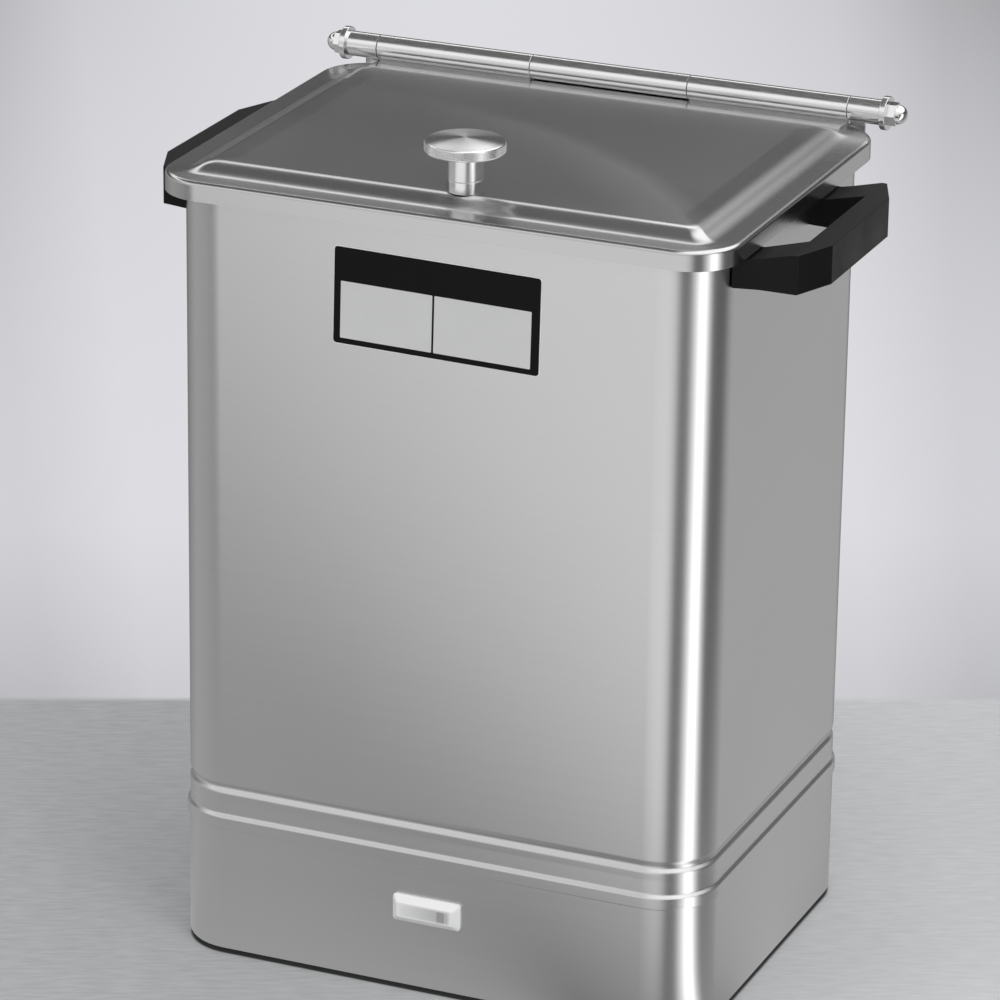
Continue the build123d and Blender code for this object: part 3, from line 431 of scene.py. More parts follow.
def add_painted_sheen(material):
    """Painted sheen: a soft lighter arc painted into the lid panel's upper side, strongest to the right."""
    tree = material.node_tree
    shader = tree.nodes["Principled BSDF"]
    place = object_place(tree)
    axes = split(tree, place)
    distance = add(tree, "ShaderNodeVectorMath", {0: place, 1: painted_sheen_centre}, operation="DISTANCE")
    offset = difference(tree, distance.outputs["Value"], painted_sheen_radius)
    panel_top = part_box("lid_pan")[1].z
    # Painted sheen: this mask lightens the lid's colour towards white along the arc.
    arc = product(
        tree, remap(tree, offset, 1.0, 0.0, 0.0, 12 * mm), remap(tree, offset, 0.0, 1.0, -30 * mm, 0.0),
        remap(tree, axes["X"], 0.1, 0.5, -100 * mm, 70 * mm),
        remap(tree, axes["Z"], 0.0, 1.0, panel_top - 0.5 * mm, panel_top - 0.3 * mm),
    )
    base = shader.inputs["Base Color"].links[0].from_socket
    tone = add(tree, "ShaderNodeMix", {"Factor": arc, "A": base, "B": (1, 1, 1, 1)}, data_type="RGBA")
    feed(tree, shader, {"Base Color": tone.outputs["Result"]})


def bright_steel(name, shade, roughness):
    """Polished or drawn steel with fine scratches."""
    material, tree, shader = shader_tree(name)
    scratches = pattern(tree, 1.0, 3.0, (150.0, 1200.0, 1200.0))
    feed(tree, shader, {
        "Base Color": blend_colours(tree, scratches, grey(shade * 0.94), grey(shade)),
        "Roughness": remap(tree, scratches, roughness * 0.75, roughness * 1.3),
        "Metallic": 1.0,
    })
    relief(tree, shader, scratches, 0.03, 0.02 * mm)
    return material


# %% [markdown]
# ## Plastics, fibre and glass
#
# Moulded plastic has an even fine texture and broad soft patches where hands have polished
# it. The lamp's lens is milky: light goes into it and comes back out softened, and the shade of
# the hollow behind it is painted into its colour as grey. The blanket is matted glass fibre,
# drawn as two layers of crossing strands.


# %% Other finishes
def moulded(name, dark, light, roughness, grain_size, depth, metallic=0.0, shine=0.35):
    """Moulded or coated material: a fine even texture and soft patches of wear."""
    material, tree, shader = shader_tree(name)
    patches = pattern(tree, 35.0, 3.0)
    feed(tree, shader, {
        "Base Color": blend_colours(tree, patches, dark, light),
        "Roughness": remap(tree, patches, roughness - 0.06, roughness + 0.08),
        "Metallic": metallic,
        "Specular IOR Level": shine,
    })
    relief(tree, shader, pattern(tree, 1.0 / grain_size, 2.0), 0.25, depth)
    return material


def hollow_shade(tree):
    """Painted shade on the lens: grey over the lamp's hollow behind it, deepening to the right, and darker
    over the lamp's end.
    """
    low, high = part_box("pilot_lamp_lens")
    middle = (low + high) / 2
    axes = split(tree, object_place(tree))
    face = product(
        tree, remap(tree, axes["Y"], 1.0, 0.0, low.y + 0.1 * mm, low.y + 0.5 * mm),
        within(tree, axes["Z"], middle.z, 3.0 * mm, 0.7 * mm),
    )
    # Painted shade: the hollow behind the lens greys it, deepening to the right; the lamp's end greys it
    # more.
    hollow = product(
        tree, face, 0.38, within(tree, axes["X"], middle.x, 12.3 * mm, 0.9 * mm),
        remap(tree, axes["X"], 0.25, 1.0, middle.x - 11 * mm, middle.x + 6 * mm),
    )
    end = product(
        tree, face, 0.22, within(tree, axes["X"], middle.x + 8.2 * mm, 1.9 * mm, 0.25 * mm),
        within(tree, axes["Z"], middle.z - 0.4 * mm, 2.9 * mm, 0.25 * mm),
    )
    return calculate(tree, "ADD", hollow, end)


def lens_plastic():
    """Milky plastic, with the shade of the lamp's hollow behind it painted into its colour as a grey shape.
    """
    material, tree, shader = shader_tree("white_lens")
    flow = pattern(tree, 90.0, 3.0, (1.0, 1.0, 0.3))
    feed(tree, shader, {
        "Base Color": blend_colours(tree, hollow_shade(tree), grey(0.90), grey(0.02)),
        "Roughness": remap(tree, flow, 0.18, 0.26),
        "Subsurface Weight": 0.25,
        "Subsurface Radius": (1.5 * mm, 1.5 * mm, 1.5 * mm),
        "Subsurface Scale": 1.0,
    })
    return material


def neon_glass():
    """Clear glass with a slightly cloudy inside."""
    material, tree, shader = shader_tree("neon_glass")
    cloud = pattern(tree, 120.0, 2.0)
    feed(tree, shader, {
        "Base Color": blend_colours(tree, cloud, (0.90, 0.84, 0.80), (0.97, 0.94, 0.92)),
        "Roughness": remap(tree, cloud, 0.05, 0.25),
        "Transmission Weight": 0.85,
    })
    return material


def glass_fibre():
    """Matted fibre: two layers of crossing strands in colour and relief."""
    material, tree, shader = shader_tree("glass_fibre")
    upright = pattern(tree, 1.0, 5.0, (700.0, 700.0, 90.0))
    level = pattern(tree, 1.0, 5.0, (120.0, 120.0, 800.0))
    matted = calculate(tree, "MAXIMUM", upright, level)
    feed(tree, shader, {
        "Base Color": blend_colours(tree, matted, (0.60, 0.50, 0.28), (0.93, 0.88, 0.70)),
        "Roughness": remap(tree, matted, 0.95, 0.8),
        "Sheen Weight": 0.3,
    })
    relief(tree, shader, matted, 0.8, 0.6 * mm)
    return material


# %% [markdown]
# ## One finish for each slot
#
# The frame says which finish each piece has. Every CAD node gets its own now, so the pieces
# that are hidden inside are dressed too. Three steels follow that know their grain: the
# walls are brushed level, the lid along its width, and the knob in circles.

# %% Finishes
across_grain = (5.0, 5.0, 700.0)
finish = {
    "stainless_sheet": brushed_steel("stainless_sheet", 0.62, 0.32, across_grain),
    "stainless_bright": bright_steel("stainless_bright", 0.78, 0.17),
    "fasteners": bright_steel("fasteners", 0.60, 0.28),
    "element_sheath": moulded(
        "element_sheath", (0.24, 0.22, 0.20), (0.38, 0.34, 0.30), 0.38, 0.4 * mm, 0.03 * mm, 1.0
    ),
    "brass": moulded("brass", (0.66, 0.47, 0.20), (0.78, 0.60, 0.30), 0.27, 0.5 * mm, 0.02 * mm, 1.0),
    "rubber": moulded("rubber", grey(0.020), grey(0.035), 0.75, 0.5 * mm, 0.10 * mm),
    "label_plate": moulded(
        "label_plate", grey(0.002), grey(0.004), 0.38, 0.3 * mm, 0.01 * mm, shine=0.12
    ),
    "white_lens": lens_plastic(),
    "white_plastic": moulded("white_plastic", grey(0.72), grey(0.80), 0.42, 0.4 * mm, 0.03 * mm),
    "neon_glass": neon_glass(),
    "glass_fibre": glass_fibre(),
    "black_plastic": moulded(
        "black_plastic", grey(0.002), grey(0.005), 0.40, 0.4 * mm, 0.03 * mm, shine=0.16
    ),
    "brown_plastic": moulded(
        "brown_plastic", (0.08, 0.035, 0.02), (0.12, 0.06, 0.04), 0.4, 0.4 * mm, 0.03 * mm
    ),
    "grey_plastic": moulded("grey_plastic", grey(0.09), grey(0.13), 0.45, 0.4 * mm, 0.04 * mm),
    "lead_insulation": moulded("lead_insulation", grey(0.62), grey(0.74), 0.6, 0.6 * mm, 0.05 * mm),
}
for node, obj in nodes.items():
    obj.data.materials.clear()
    obj.data.materials.append(finish[slot_of[node]])
wall_steel = brushed_steel("wall_steel", 0.62, 0.29, across_grain, 0.7)
lid_steel = brushed_steel("lid_steel", 0.54, 0.22, (5.0, 900.0, 900.0), 0.3)
add_painted_sheen(lid_steel)
turned_steel = brushed_steel("turned_steel", 0.80, 0.26, (900.0, 900.0, 900.0), 0.85)
print("finishes:", len(finish) + 3)

# %% [markdown]
# ## Jacket
#
# The jacket is one wrapped sheet. Near its foot it is rolled into a bead and a groove, and
# its hem is spread over the skirt. All of that is one profile, walked round the body: down
# the outer side and back up the inner one, so the sheet has its real thickness.

# %% Jacket
sheet = 0.8 * mm
wall_corner = 27 * mm
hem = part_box("outer_jacket")[0].z
jacket_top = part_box("outer_jacket")[1].z


def wrapped(name, profile):
    """A sheet wrapped round the body: the profile is (height, offset from the wall)."""
    rings = [
        level_ring(wall_width + 2 * out, wall_depth + 2 * out, wall_corner + out, z)
        for z, out in profile
    ]
    obj = skin(name, rings, closed=True)
    obj.data.materials.append(wall_steel)
    smooth(obj, 60)
    return obj


def jacket_profile():
    """(height, offset) from the hem up outside, then down inside, with its rolled bends."""
    bends = [
        (0.0, 1.4, 0.6), (5.6, 1.4, 1.2), (7.4, 0.1, 1.4), (14.3, 0.0, 6.0),
        (17.9, 0.15, 2.0), (20.4, -1.6, 1.6), (23.4, 0.0, 3.0),
    ]
    corners = [(hem, 0.6 * mm)] + [(hem + up * mm, out * mm) for up, out, _ in bends]
    corners.append((jacket_top, 0.0))
    outer = rounded(corners, [radius * mm for _, _, radius in bends])
    return outer + [Vector((z, out - sheet)) for z, out in reversed(outer[1:])]


jacket = wrapped("jacket_skin", jacket_profile())
stand_for(jacket, "outer_jacket")
print("jacket:", len(jacket.data.polygons), "faces, bead", round((hem + 16 * mm) / mm, 1), "mm up")

# %% [markdown]
# ## Skirt
#
# The skirt is a plainer band under the jacket. Its upper edge hides behind the hem and its
# lower edge is turned in, for the floor plate to screw to.

# %% Skirt
skirt_low, skirt_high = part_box("base_skirt")
skirt_out = (skirt_high.x - skirt_low.x - wall_width) / 2
skirt_sheet = 1.0 * mm
skirt_flange = 12 * mm


def skirt_profile():
    """Wall from the top down, the turned-in flange, and back up inside."""
    low = skirt_low.z
    edge = skirt_out - skirt_flange
    inside = skirt_out - skirt_sheet
    outer = rounded([(skirt_high.z, skirt_out), (low, skirt_out), (low, edge)], [1.4 * mm])
    floor_of_sheet = low + skirt_sheet
    inner = rounded(
        [(floor_of_sheet, edge), (floor_of_sheet, inside), (skirt_high.z, inside)], [0.5 * mm]
    )
    return outer + inner


skirt = wrapped("skirt_skin", skirt_profile())
stand_for(skirt, "base_skirt")
print("skirt:", len(skirt.data.polygons), "faces")

# %% [markdown]
# ## Lid
#
# The lid is pressed from one sheet: a turned-down rim, a flat edge that falls a little
# outwards, and a raised panel with soft shoulders. The press leaves generous curves, and they
# are what shows as thin bright lines. At the rear the rim is cut away, so the lid can swing.

# %% Lid
lid_low, lid_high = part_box("lid_pan")
lid_width = lid_high.x - lid_low.x
lid_depth = lid_high.y - lid_low.y
lid_y = (lid_high.y + lid_low.y) / 2 - body_y
lid_corner = 24 * mm
flat_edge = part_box("hinge_lid_leaf")[0].z
flange_width = 13.3 * mm
shoulder = 7 * mm
panel_corner = 5 * mm
flange_fall = 0.5 * mm
rim_cut = 0.93


def lid_rings():
    """Rings from the rim's lower edge up, and in to the middle of the panel."""
    panel = flange_width + shoulder
    corners = [
        (0.0, lid_low.z), (0.0, flat_edge), (flange_width, flat_edge),
        (panel, lid_high.z), (panel + 12 * mm, lid_high.z),
    ]
    rings = []
    for inset, z in rounded(corners, [2.0 * mm, 13.0 * mm, 13.0 * mm], 9):
        share = min(max(inset - 2 * mm, 0) / (panel - 2 * mm), 1)
        corner = (lid_corner - inset) * (1 - share) + panel_corner * share
        rings.append(level_ring(lid_width - 2 * inset, lid_depth - 2 * inset, corner, z, lid_y, 12))
    return rings


def cut_rear_rim(mesh):
    """Draws the rim up at the rear, in a quarter circle, where the lid swings."""
    end = lid_high.y - 10 * mm
    start = end - 5 * mm
    under = flat_edge - 1.5 * mm
    for vert in mesh.vertices:
        if vert.co.y > start and vert.co.z < under:
            step = min((vert.co.y - start) / (end - start), 1)
            keep = 1 - rim_cut * (1 - (1 - step ** 2) ** 0.5)
            vert.co.z = under - (under - vert.co.z) * keep


def let_edge_fall(mesh):
    """Lowers the flat edge outwards, but not at the rear, where the hinge lies on it."""
    for vert in mesh.vertices:
        outside = max(
            abs(vert.co.x - body_x) - (lid_width / 2 - flange_width),
            abs(vert.co.y - body_y - lid_y) - (lid_depth / 2 - flange_width), 0,
        )
        forward = min(max((lid_high.y - 25 * mm - vert.co.y) / (60 * mm), 0), 1)
        if vert.co.z > flat_edge - 3 * mm:
            vert.co.z -= flange_fall * forward * min(outside / flange_width, 1)


lid = skin("lid_skin", lid_rings(), ends=(-1,))
cut_rear_rim(lid.data)
let_edge_fall(lid.data)
wall = lid.modifiers.new("sheet", "SOLIDIFY")
wall.thickness = sheet
wall.offset = -1
plain_mesh(lid)
lid.data.materials.append(lid_steel)
smooth(lid, 50)
stand_for(lid, "lid_pan")
print("lid:", len(lid.data.polygons), "faces")

# %% [markdown]
# ## Knob
#
# The knob is turned from bar: a stem, a wide head with a low crown, and a knurled band round
# its edge. The body is a lathe profile walked round in circles. The finish's grain follows
# those circles, so the light opens as a fan on the crown.

# %% Knob body
knob_low, knob_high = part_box("lid_knob")
knob_centre = (knob_low + knob_high) / 2
head_radius = (knob_high.x - knob_low.x) / 2
stem_radius = 8.4 * mm
head_low = knob_low.z + 12.5 * mm
band_height = 5.0 * mm
knurl_height = 0.3 * mm
crown = 1.5 * mm


def knob_rings():
    """Rings of the stem, the head's underside, its band and its crown."""
    band_radius = head_radius - knurl_height
    top = head_low + band_height
    corners = [
        (stem_radius - 0.3 * mm, knob_low.z), (stem_radius, knob_low.z + 0.3 * mm),
        (stem_radius, head_low), (band_radius, head_low), (band_radius, top), (14 * mm, top + 0.6 * mm),
    ]
    profile = rounded(corners, [0.3 * mm, 1.5 * mm, 0.8 * mm, 0.7 * mm])
    profile += [
        (radius * mm, top + crown - (radius * mm) ** 2 * crown / head_radius ** 2)
        for radius in (12, 9, 6, 3, 0.6)
    ]
    return [circle(knob_centre, radius, z) for radius, z in profile]


knob = skin("knob_turned", knob_rings(), ends=(0, -1))
knob.data.materials.append(turned_steel)
smooth(knob, 40)
stand_for(knob, "lid_knob")
print("knob:", len(knob.data.polygons), "faces, head", round(2 * head_radius / mm, 1), "mm wide")

# %% [markdown]
# ## Helpers for Geometry Nodes
#
# What repeats by a rule is left to a node tree: it takes its measures as inputs, makes the
# copies real and gives them their finish. The result is kept as a plain mesh, because the frame
# measures and exports plain meshes.

# %% Helpers for Geometry Nodes
def node_tree(name, inputs):
    """An empty Geometry Nodes tree with named inputs, its input node and its output node."""
    tree = bpy.data.node_groups.new(name, "GeometryNodeTree")
    tree.interface.new_socket("Geometry", in_out="OUTPUT", socket_type="NodeSocketGeometry")
    tree.interface.new_socket("Geometry", in_out="INPUT", socket_type="NodeSocketGeometry")
    for label, kind in inputs:
        tree.interface.new_socket(label, in_out="INPUT", socket_type=f"NodeSocket{kind}")
    return tree, tree.nodes.new("NodeGroupInput").outputs, tree.nodes.new("NodeGroupOutput").inputs


def finished(tree, geometry, material, result):
    """Realizes the instances, sets their material and hands them out."""
    real = add(tree, "GeometryNodeRealizeInstances", {"Geometry": geometry})
    painted = add(tree, "GeometryNodeSetMaterial", {
        "Geometry": real.outputs["Geometry"], "Material": material,
    })
    tree.links.new(painted.outputs["Geometry"], result["Geometry"])


def vector(tree, **parts):
    """A vector from its X, Y and Z; one that isn't given is 0."""
    return add(tree, "ShaderNodeCombineXYZ", parts).outputs["Vector"]


def moved(tree, place, offset):
    """A vector moved by another."""
    return add(tree, "ShaderNodeVectorMath", {0: place, 1: offset}, operation="ADD").outputs["Vector"]


def facing(tree, direction):
    """The turn that points a model's Z axis in a direction."""
    turn = add(tree, "FunctionNodeAlignRotationToVector", {"Vector": direction}, axis="Z")
    return turn.outputs["Rotation"]


def instances(tree, points, model, **inputs):
    """A model on every point, with its turn or its scale where one is given."""
    node = add(tree, "GeometryNodeInstanceOnPoints", {"Points": points, "Instance": model, **inputs})
    return node.outputs["Instances"]


def grown(name, tree, values, points=()):
    """A plain object from a tree, its input values by label, and the points it starts from."""
    mesh = bpy.data.meshes.new(name)
    mesh.from_pydata(points, [], [])
    obj = new_object(name, mesh)
    modifier = obj.modifiers.new(name, "NODES")
    modifier.node_group = tree
    for item in tree.interface.items_tree:
        if item.in_out == "INPUT" and item.name in values:
            modifier[item.identifier] = values[item.name]
    plain_mesh(obj)
    return obj


# %% [markdown]
# ## Knurl
#
# A knurling tool presses crossing grooves into the band and leaves rows of small pyramids,
# every second row shifted by half a step. The tree places them from a count, a number of rows
# and a step.

# %% Knurl
def knurl_tree():
    """Rows of pyramids on a cylinder, each pointing outwards."""
    tree, given, result = node_tree("knurl", [
        ("Columns", "Int"), ("Rows", "Int"), ("Radius", "Float"), ("Step", "Float"),
        ("Height", "Float"), ("First", "Vector"),
    ])
    columns = given["Columns"]
    index = add(tree, "GeometryNodeInputIndex").outputs["Index"]
    row = calculate(tree, "FLOOR", calculate(tree, "DIVIDE", index, columns))
    shift = product(tree, calculate(tree, "MODULO", row, 2), 0.5)
    column = calculate(tree, "ADD", calculate(tree, "MODULO", index, columns), shift)
    angle = product(tree, calculate(tree, "DIVIDE", column, columns), 2 * pi)
    outward = vector(tree, X=calculate(tree, "COSINE", angle), Y=calculate(tree, "SINE", angle))
    scaled = {"Vector": outward, "Scale": given["Radius"]}
    out = add(tree, "ShaderNodeVectorMath", scaled, operation="SCALE").outputs["Vector"]
    rise = vector(tree, Z=product(tree, row, given["Step"]))
    points = add(tree, "GeometryNodePoints", {
        "Count": product(tree, columns, given["Rows"]),
        "Position": moved(tree, moved(tree, out, rise), given["First"]),
    }).outputs["Points"]
    pyramid = add(tree, "GeometryNodeMeshCone", {
        "Vertices": 4, "Radius Bottom": given["Step"], "Depth": given["Height"],
    }).outputs["Mesh"]
    teeth = instances(tree, points, pyramid, Rotation=facing(tree, outward))
    finished(tree, teeth, finish["fasteners"], result)
    return tree


knurl_rows = 7
knurl_step = (band_height - 0.9 * mm) / (knurl_rows + 1)
knurl_columns = round(pi * head_radius / knurl_step)
knurl = grown("knob_knurl", knurl_tree(), {
    "Columns": knurl_columns, "Rows": knurl_rows, "Radius": head_radius - 1.1 * knurl_height,
    "Step": knurl_step, "Height": knurl_height,
    "First": (knob_centre.x, knob_centre.y, head_low + 0.5 * mm + knurl_step),
})
ride_with(knurl, "lid_knob")
print("knurl:", knurl_columns, "x", knurl_rows, "teeth,", len(knurl.data.polygons), "faces")

# %% [markdown]
# ## Screws and rivets
#
# Fasteners repeat, so each kind is modelled once and set on every place that the CAD has one.
# A pan-head screw is turned, and its cross is cut out of the head; a rivet is only turned. The
# tree takes the places as points and one direction, and gives every screw its own turn from
# a fixed seed, because no two screws stop at the same angle.

# %% Fastener tree
def fastener_tree(template, material):
    """Copies of a template on points, along one direction, each turned by chance."""
    tree, given, result = node_tree("fasteners", [("Direction", "Vector"), ("Seed", "Int")])
    model = add(tree, "GeometryNodeObjectInfo", {"Object": template}).outputs["Geometry"]
    chance = add(tree, "FunctionNodeRandomValue", {"Seed": given["Seed"], 3: 2 * pi}, data_type="FLOAT")
    spin = add(tree, "FunctionNodeEulerToRotation", {"Euler": vector(tree, Z=chance.outputs[1])})
    turned = add(tree, "FunctionNodeRotateRotation", {
        "Rotation": facing(tree, given["Direction"]), "Rotate By": spin.outputs["Rotation"],
    }, rotation_space="LOCAL")
    copies = instances(tree, given["Geometry"], model, Rotation=turned.outputs["Rotation"])
    finished(tree, copies, material, result)
    return tree


def lathed(name, profile):
    """A turned template about the Z axis, from (radius, height) points."""
    origin = Vector((0, 0, 0))
    return skin(name, [circle(origin, max(r, 0.05 * mm), z, 32) for r, z in profile], ends=(0, -1))


def cut_cross(obj, reach, width, top, depth):
    """Cuts a cross recess into a template's head."""
    build = bmesh.new()
    for size in ((reach, width), (width, reach)):
        box = bmesh.ops.create_cube(build, size=1)["verts"]
        bmesh.ops.scale(build, verts=box, vec=(*size, 2 * depth))
        bmesh.ops.translate(build, verts=box, vec=(0, 0, top))
    cutter = built("cross", build)
    cut = obj.modifiers.new("cross", "BOOLEAN")
    cut.object = cutter
    cut.use_self = True
    plain_mesh(obj)
    bpy.data.objects.remove(cutter)


def fastened(node, template, seat, direction, seed):
    """Fasteners on every island of a CAD node: seat picks the place under a head."""
    places = [seat(low, high) for low, high in islands(node)]
    tree = fastener_tree(template, finish[slot_of[node]])
    obj = grown(f"{node}_set", tree, {"Direction": direction, "Seed": seed}, places)
    return obj, len(places)


# %% [markdown]
# ## Screws in the floor and rivets in the hinge
#
# Six screws hold the floor plate, heads down, and six rivets hold the hinge's strap on the rear
# wall. A screw sits under its head, so its head's height is taken off the CAD piece's length.

# %% Floor screws and hinge rivets
def pan_head(name, shank_radius, length, head_height):
    """A pan-head screw: its seat at the origin, head up, shank down."""
    head = 2 * shank_radius
    corners = [
        (shank_radius * 0.7, -length), (shank_radius, -length + 0.5 * mm), (shank_radius, 0.0),
        (head, 0.0), (head, head_height * 0.98), (0.0, head_height),
    ]
    profile = rounded(corners, [0.2 * mm, 0.15 * mm, 0.1 * mm, 0.6 * head_height])
    screw = lathed(name, profile)
    cut_cross(screw, 1.9 * shank_radius, 0.45 * shank_radius, head_height, 0.55 * head_height)
    smooth(screw, 35)
    plain_mesh(screw)
    return screw


def between(low, high, axis, value):
    """The middle of a box, with one coordinate set."""
    place = (low + high) / 2
    place[axis] = value
    return place


screw_low, screw_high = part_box("floor_plate_screws")
screw_head = 1.2 * mm
screw = pan_head("screw_model", 1.5 * mm, screw_high.z - screw_low.z - screw_head, screw_head)
screws, count = fastened(
    "floor_plate_screws", screw,
    lambda low, high: between(low, high, 2, screw_low.z + screw_head), (0, 0, -1), 4,
)
stand_for(screws, "floor_plate_screws")
print("floor screws:", count)

rivet_low, rivet_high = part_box("hinge_rivets")
rivet_head = 1.2 * mm
rivet_inner = rivet_high.y - rivet_low.y - rivet_head


def rivet_profile():
    """A rivet: set head, shank and round head, its seat under the round head."""
    dome = [(3.2 * mm * cos(radians(a)), rivet_head * sin(radians(a))) for a in range(0, 90, 15)]
    foot = -rivet_inner + rivet_head
    return [
        (2.4 * mm, -rivet_inner), (3.2 * mm, -rivet_inner + 0.5 * mm), (3.2 * mm, foot),
        (1.6 * mm, foot), (1.6 * mm, 0.0),
    ] + dome + [(0.1 * mm, rivet_head)]


rivet = lathed("rivet_model", rivet_profile())
smooth(rivet, 40)
plain_mesh(rivet)
rivets, count = fastened(
    "hinge_rivets", rivet, lambda low, high: between(low, high, 1, rivet_high.y - rivet_head), (0, 1, 0), 1,
)
stand_for(rivets, "hinge_rivets")
for template in (screw, rivet):
    bpy.data.objects.remove(template)
print("hinge rivets:", count)

# %% [markdown]
# ## Rack grilles
#
# The rack's five grilles are the same welded wire frame: two long wires and seven rungs, with
# a small bead of weld at each crossing. One tree draws a grille from its measures and repeats
# it along the tank, so the frame's sizes stay inputs.

# %% Grilles
wire_radius = 2.0 * mm
rung_radius = 1.6 * mm
grille_low, grille_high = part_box("rack_dividers")
grille_count = len(islands("rack_dividers"))


def tube(tree, curve, radius):
    """A round wire along a curve, closed at both ends."""
    section = add(tree, "GeometryNodeCurvePrimitiveCircle", {"Radius": radius, "Resolution": 20})
    wire = add(tree, "GeometryNodeCurveToMesh", {
        "Curve": curve, "Profile Curve": section.outputs["Curve"], "Fill Caps": True,
    })
    return wire.outputs["Mesh"]


def straight(tree, start, end):
    """A straight curve from one point to another."""
    return add(tree, "GeometryNodeCurvePrimitiveLine", {"Start": start, "End": end}).outputs["Curve"]


def spaced(tree, count, start, offset):
    """Points in a row, an offset apart."""
    return add(tree, "GeometryNodeMeshLine", {
        "Count": count, "Start Location": start, "Offset": offset,
    }).outputs["Mesh"]


def joined(tree, *parts):
    """Several geometries as one."""
    join = add(tree, "GeometryNodeJoinGeometry")
    for part in parts:
        tree.links.new(part, join.inputs["Geometry"])
    return join.outputs["Geometry"]


def grille_tree():
    """Two long wires with rungs and weld beads between them, repeated at a pitch."""
    tree, given, result = node_tree("grilles", [
        ("Rungs", "Int"), ("Grilles", "Int"), ("Half", "Float"), ("Reach", "Float"), ("Rise", "Float"),
        ("Wire", "Float"), ("Rung", "Float"), ("First", "Vector"), ("Pitch", "Vector"),
    ])
    gaps = difference(tree, given["Rungs"], 1)
    gap = calculate(tree, "DIVIDE", product(tree, given["Half"], 2), gaps)
    back = vector(tree, X=product(tree, given["Reach"], -1))
    line = straight(tree, back, vector(tree, X=given["Reach"]))
    first = vector(tree, X=product(tree, given["Half"], -1))
    crossings = spaced(tree, given["Rungs"], first, vector(tree, X=gap))
    bead = add(tree, "GeometryNodeMeshIcoSphere", {"Radius": given["Wire"], "Subdivisions": 3})
    welds = instances(tree, crossings, bead.outputs["Mesh"], Scale=(1.2, 0.95, 1.2))
    lower = joined(tree, tube(tree, line, given["Wire"]), welds)
    rise = vector(tree, Z=given["Rise"])
    upper = add(tree, "GeometryNodeTransform", {"Geometry": lower, "Translation": rise})
    upright = straight(tree, (0, 0, 0), rise)
    rungs = instances(tree, crossings, tube(tree, upright, given["Rung"]))
    grille = joined(tree, lower, upper.outputs["Geometry"], rungs)
    places = spaced(tree, given["Grilles"], given["First"], given["Pitch"])
    grilles = instances(tree, places, grille)
    finished(tree, grilles, finish["stainless_bright"], result)
    return tree


grille_reach = (grille_high.x - grille_low.x) / 2
grille_pitch = (grille_high.y - grille_low.y - 2 * wire_radius) / (grille_count - 1)
grilles = grown("rack_grilles", grille_tree(), {
    "Rungs": 7, "Grilles": grille_count, "Half": grille_reach - 3 * mm, "Reach": grille_reach,
    "Rise": grille_high.z - grille_low.z - 2 * wire_radius, "Wire": wire_radius, "Rung": rung_radius,
    "First": (body_x, grille_low.y + wire_radius, grille_low.z + wire_radius),
    "Pitch": (0, grille_pitch, 0),
})
smooth(grilles, 40)
stand_for(grilles, "rack_dividers")
print("grilles:", grille_count, "at", round(grille_pitch / mm, 1), "mm,", len(grilles.data.polygons), "faces")

# %% [markdown]
# ## Insulation blanket
#
# The blanket is a soft mat of glass fibre pressed between the tank and the jacket. It isn't a
# plain wall: it fills most of the gap, swells and thins a little, and its cut edges are
# rounded. So it is a skin between the tank's wall and the jacket, with its thickness from
# noise that is the same on every run.

# %% Blanket
blanket_low, blanket_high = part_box("insulation_blanket")
tank_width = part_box("tank_floor")[1].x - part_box("tank_floor")[0].x
tank_inset = (wall_width - tank_width) / 2
blanket_room = tank_inset - sheet - 0.3 * mm
blanket_full, blanket_swell, swells_per_metre = 0.82, 0.17, 22
edge_thinning = 0.55


def resampled(points, count):
    """The same closed ring with evenly spaced points."""
    steps = [(after - point).length for point, after in zip(points, points[1:] + points[:1])]
    spacing = sum(steps) / count
    result = []
    travelled = 0.0
    for point, after, step in zip(points, points[1:] + points[:1], steps):
        while len(result) < count and len(result) * spacing < travelled + step:
            result.append(point.lerp(after, (len(result) * spacing - travelled) / step))
        travelled += step
    return result


def blanket_rings(levels=26, around=180):
    """Rings up the outer side and down the inner one."""
    outer, inner = [], []
    for level in range(levels + 1):
        share = level / levels
        z = blanket_low.z + share * (blanket_high.z - blanket_low.z)
        near = resampled(level_ring(
            wall_width - 2 * tank_inset, wall_depth - 2 * tank_inset, wall_corner - tank_inset, z
        ), around)
        edge = 1 - edge_thinning * abs(2 * share - 1) ** 14
        swollen = []
        for point in near:
            outward = Vector((point.x - body_x, point.y - body_y, 0))
            out_x = max(abs(outward.x) - (wall_width / 2 - wall_corner), 0) * (1 if outward.x > 0 else -1)
            out_y = max(abs(outward.y) - (wall_depth / 2 - wall_corner), 0) * (1 if outward.y > 0 else -1)
            push = Vector((out_x, out_y, 0)).normalized()
            fullness = blanket_full + blanket_swell * noise.noise(point * swells_per_metre)
            swollen.append(point + push * blanket_room * fullness * edge)
        outer.append(swollen)
        inner.append(near)
    return outer + inner[::-1]


blanket = skin("blanket_mat", blanket_rings(), closed=True)
blanket.data.materials.append(finish["glass_fibre"])
smooth(blanket, 70)
stand_for(blanket, "insulation_blanket")
print("blanket:", len(blanket.data.polygons), "faces, up to", round(blanket_room / mm, 1), "mm thick")

# %% [markdown]
# ## Plate on the front
#
# A thin black plate is stuck under the lid, not quite straight. It has a pale edge and two
# pale panels, left bare here. Each layer is its own thin piece with a soft edge, stacked like
# prints on a plate, and all of them share the plate's small tilt.

# %% Plate
plate_low, plate_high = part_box("front_label_plate")
plate_middle = (plate_low + plate_high) / 2
plate_tilt = radians(0.9)
half_width, half_height = 50 * mm, 22.75 * mm
black_thickness = 0.54 * mm


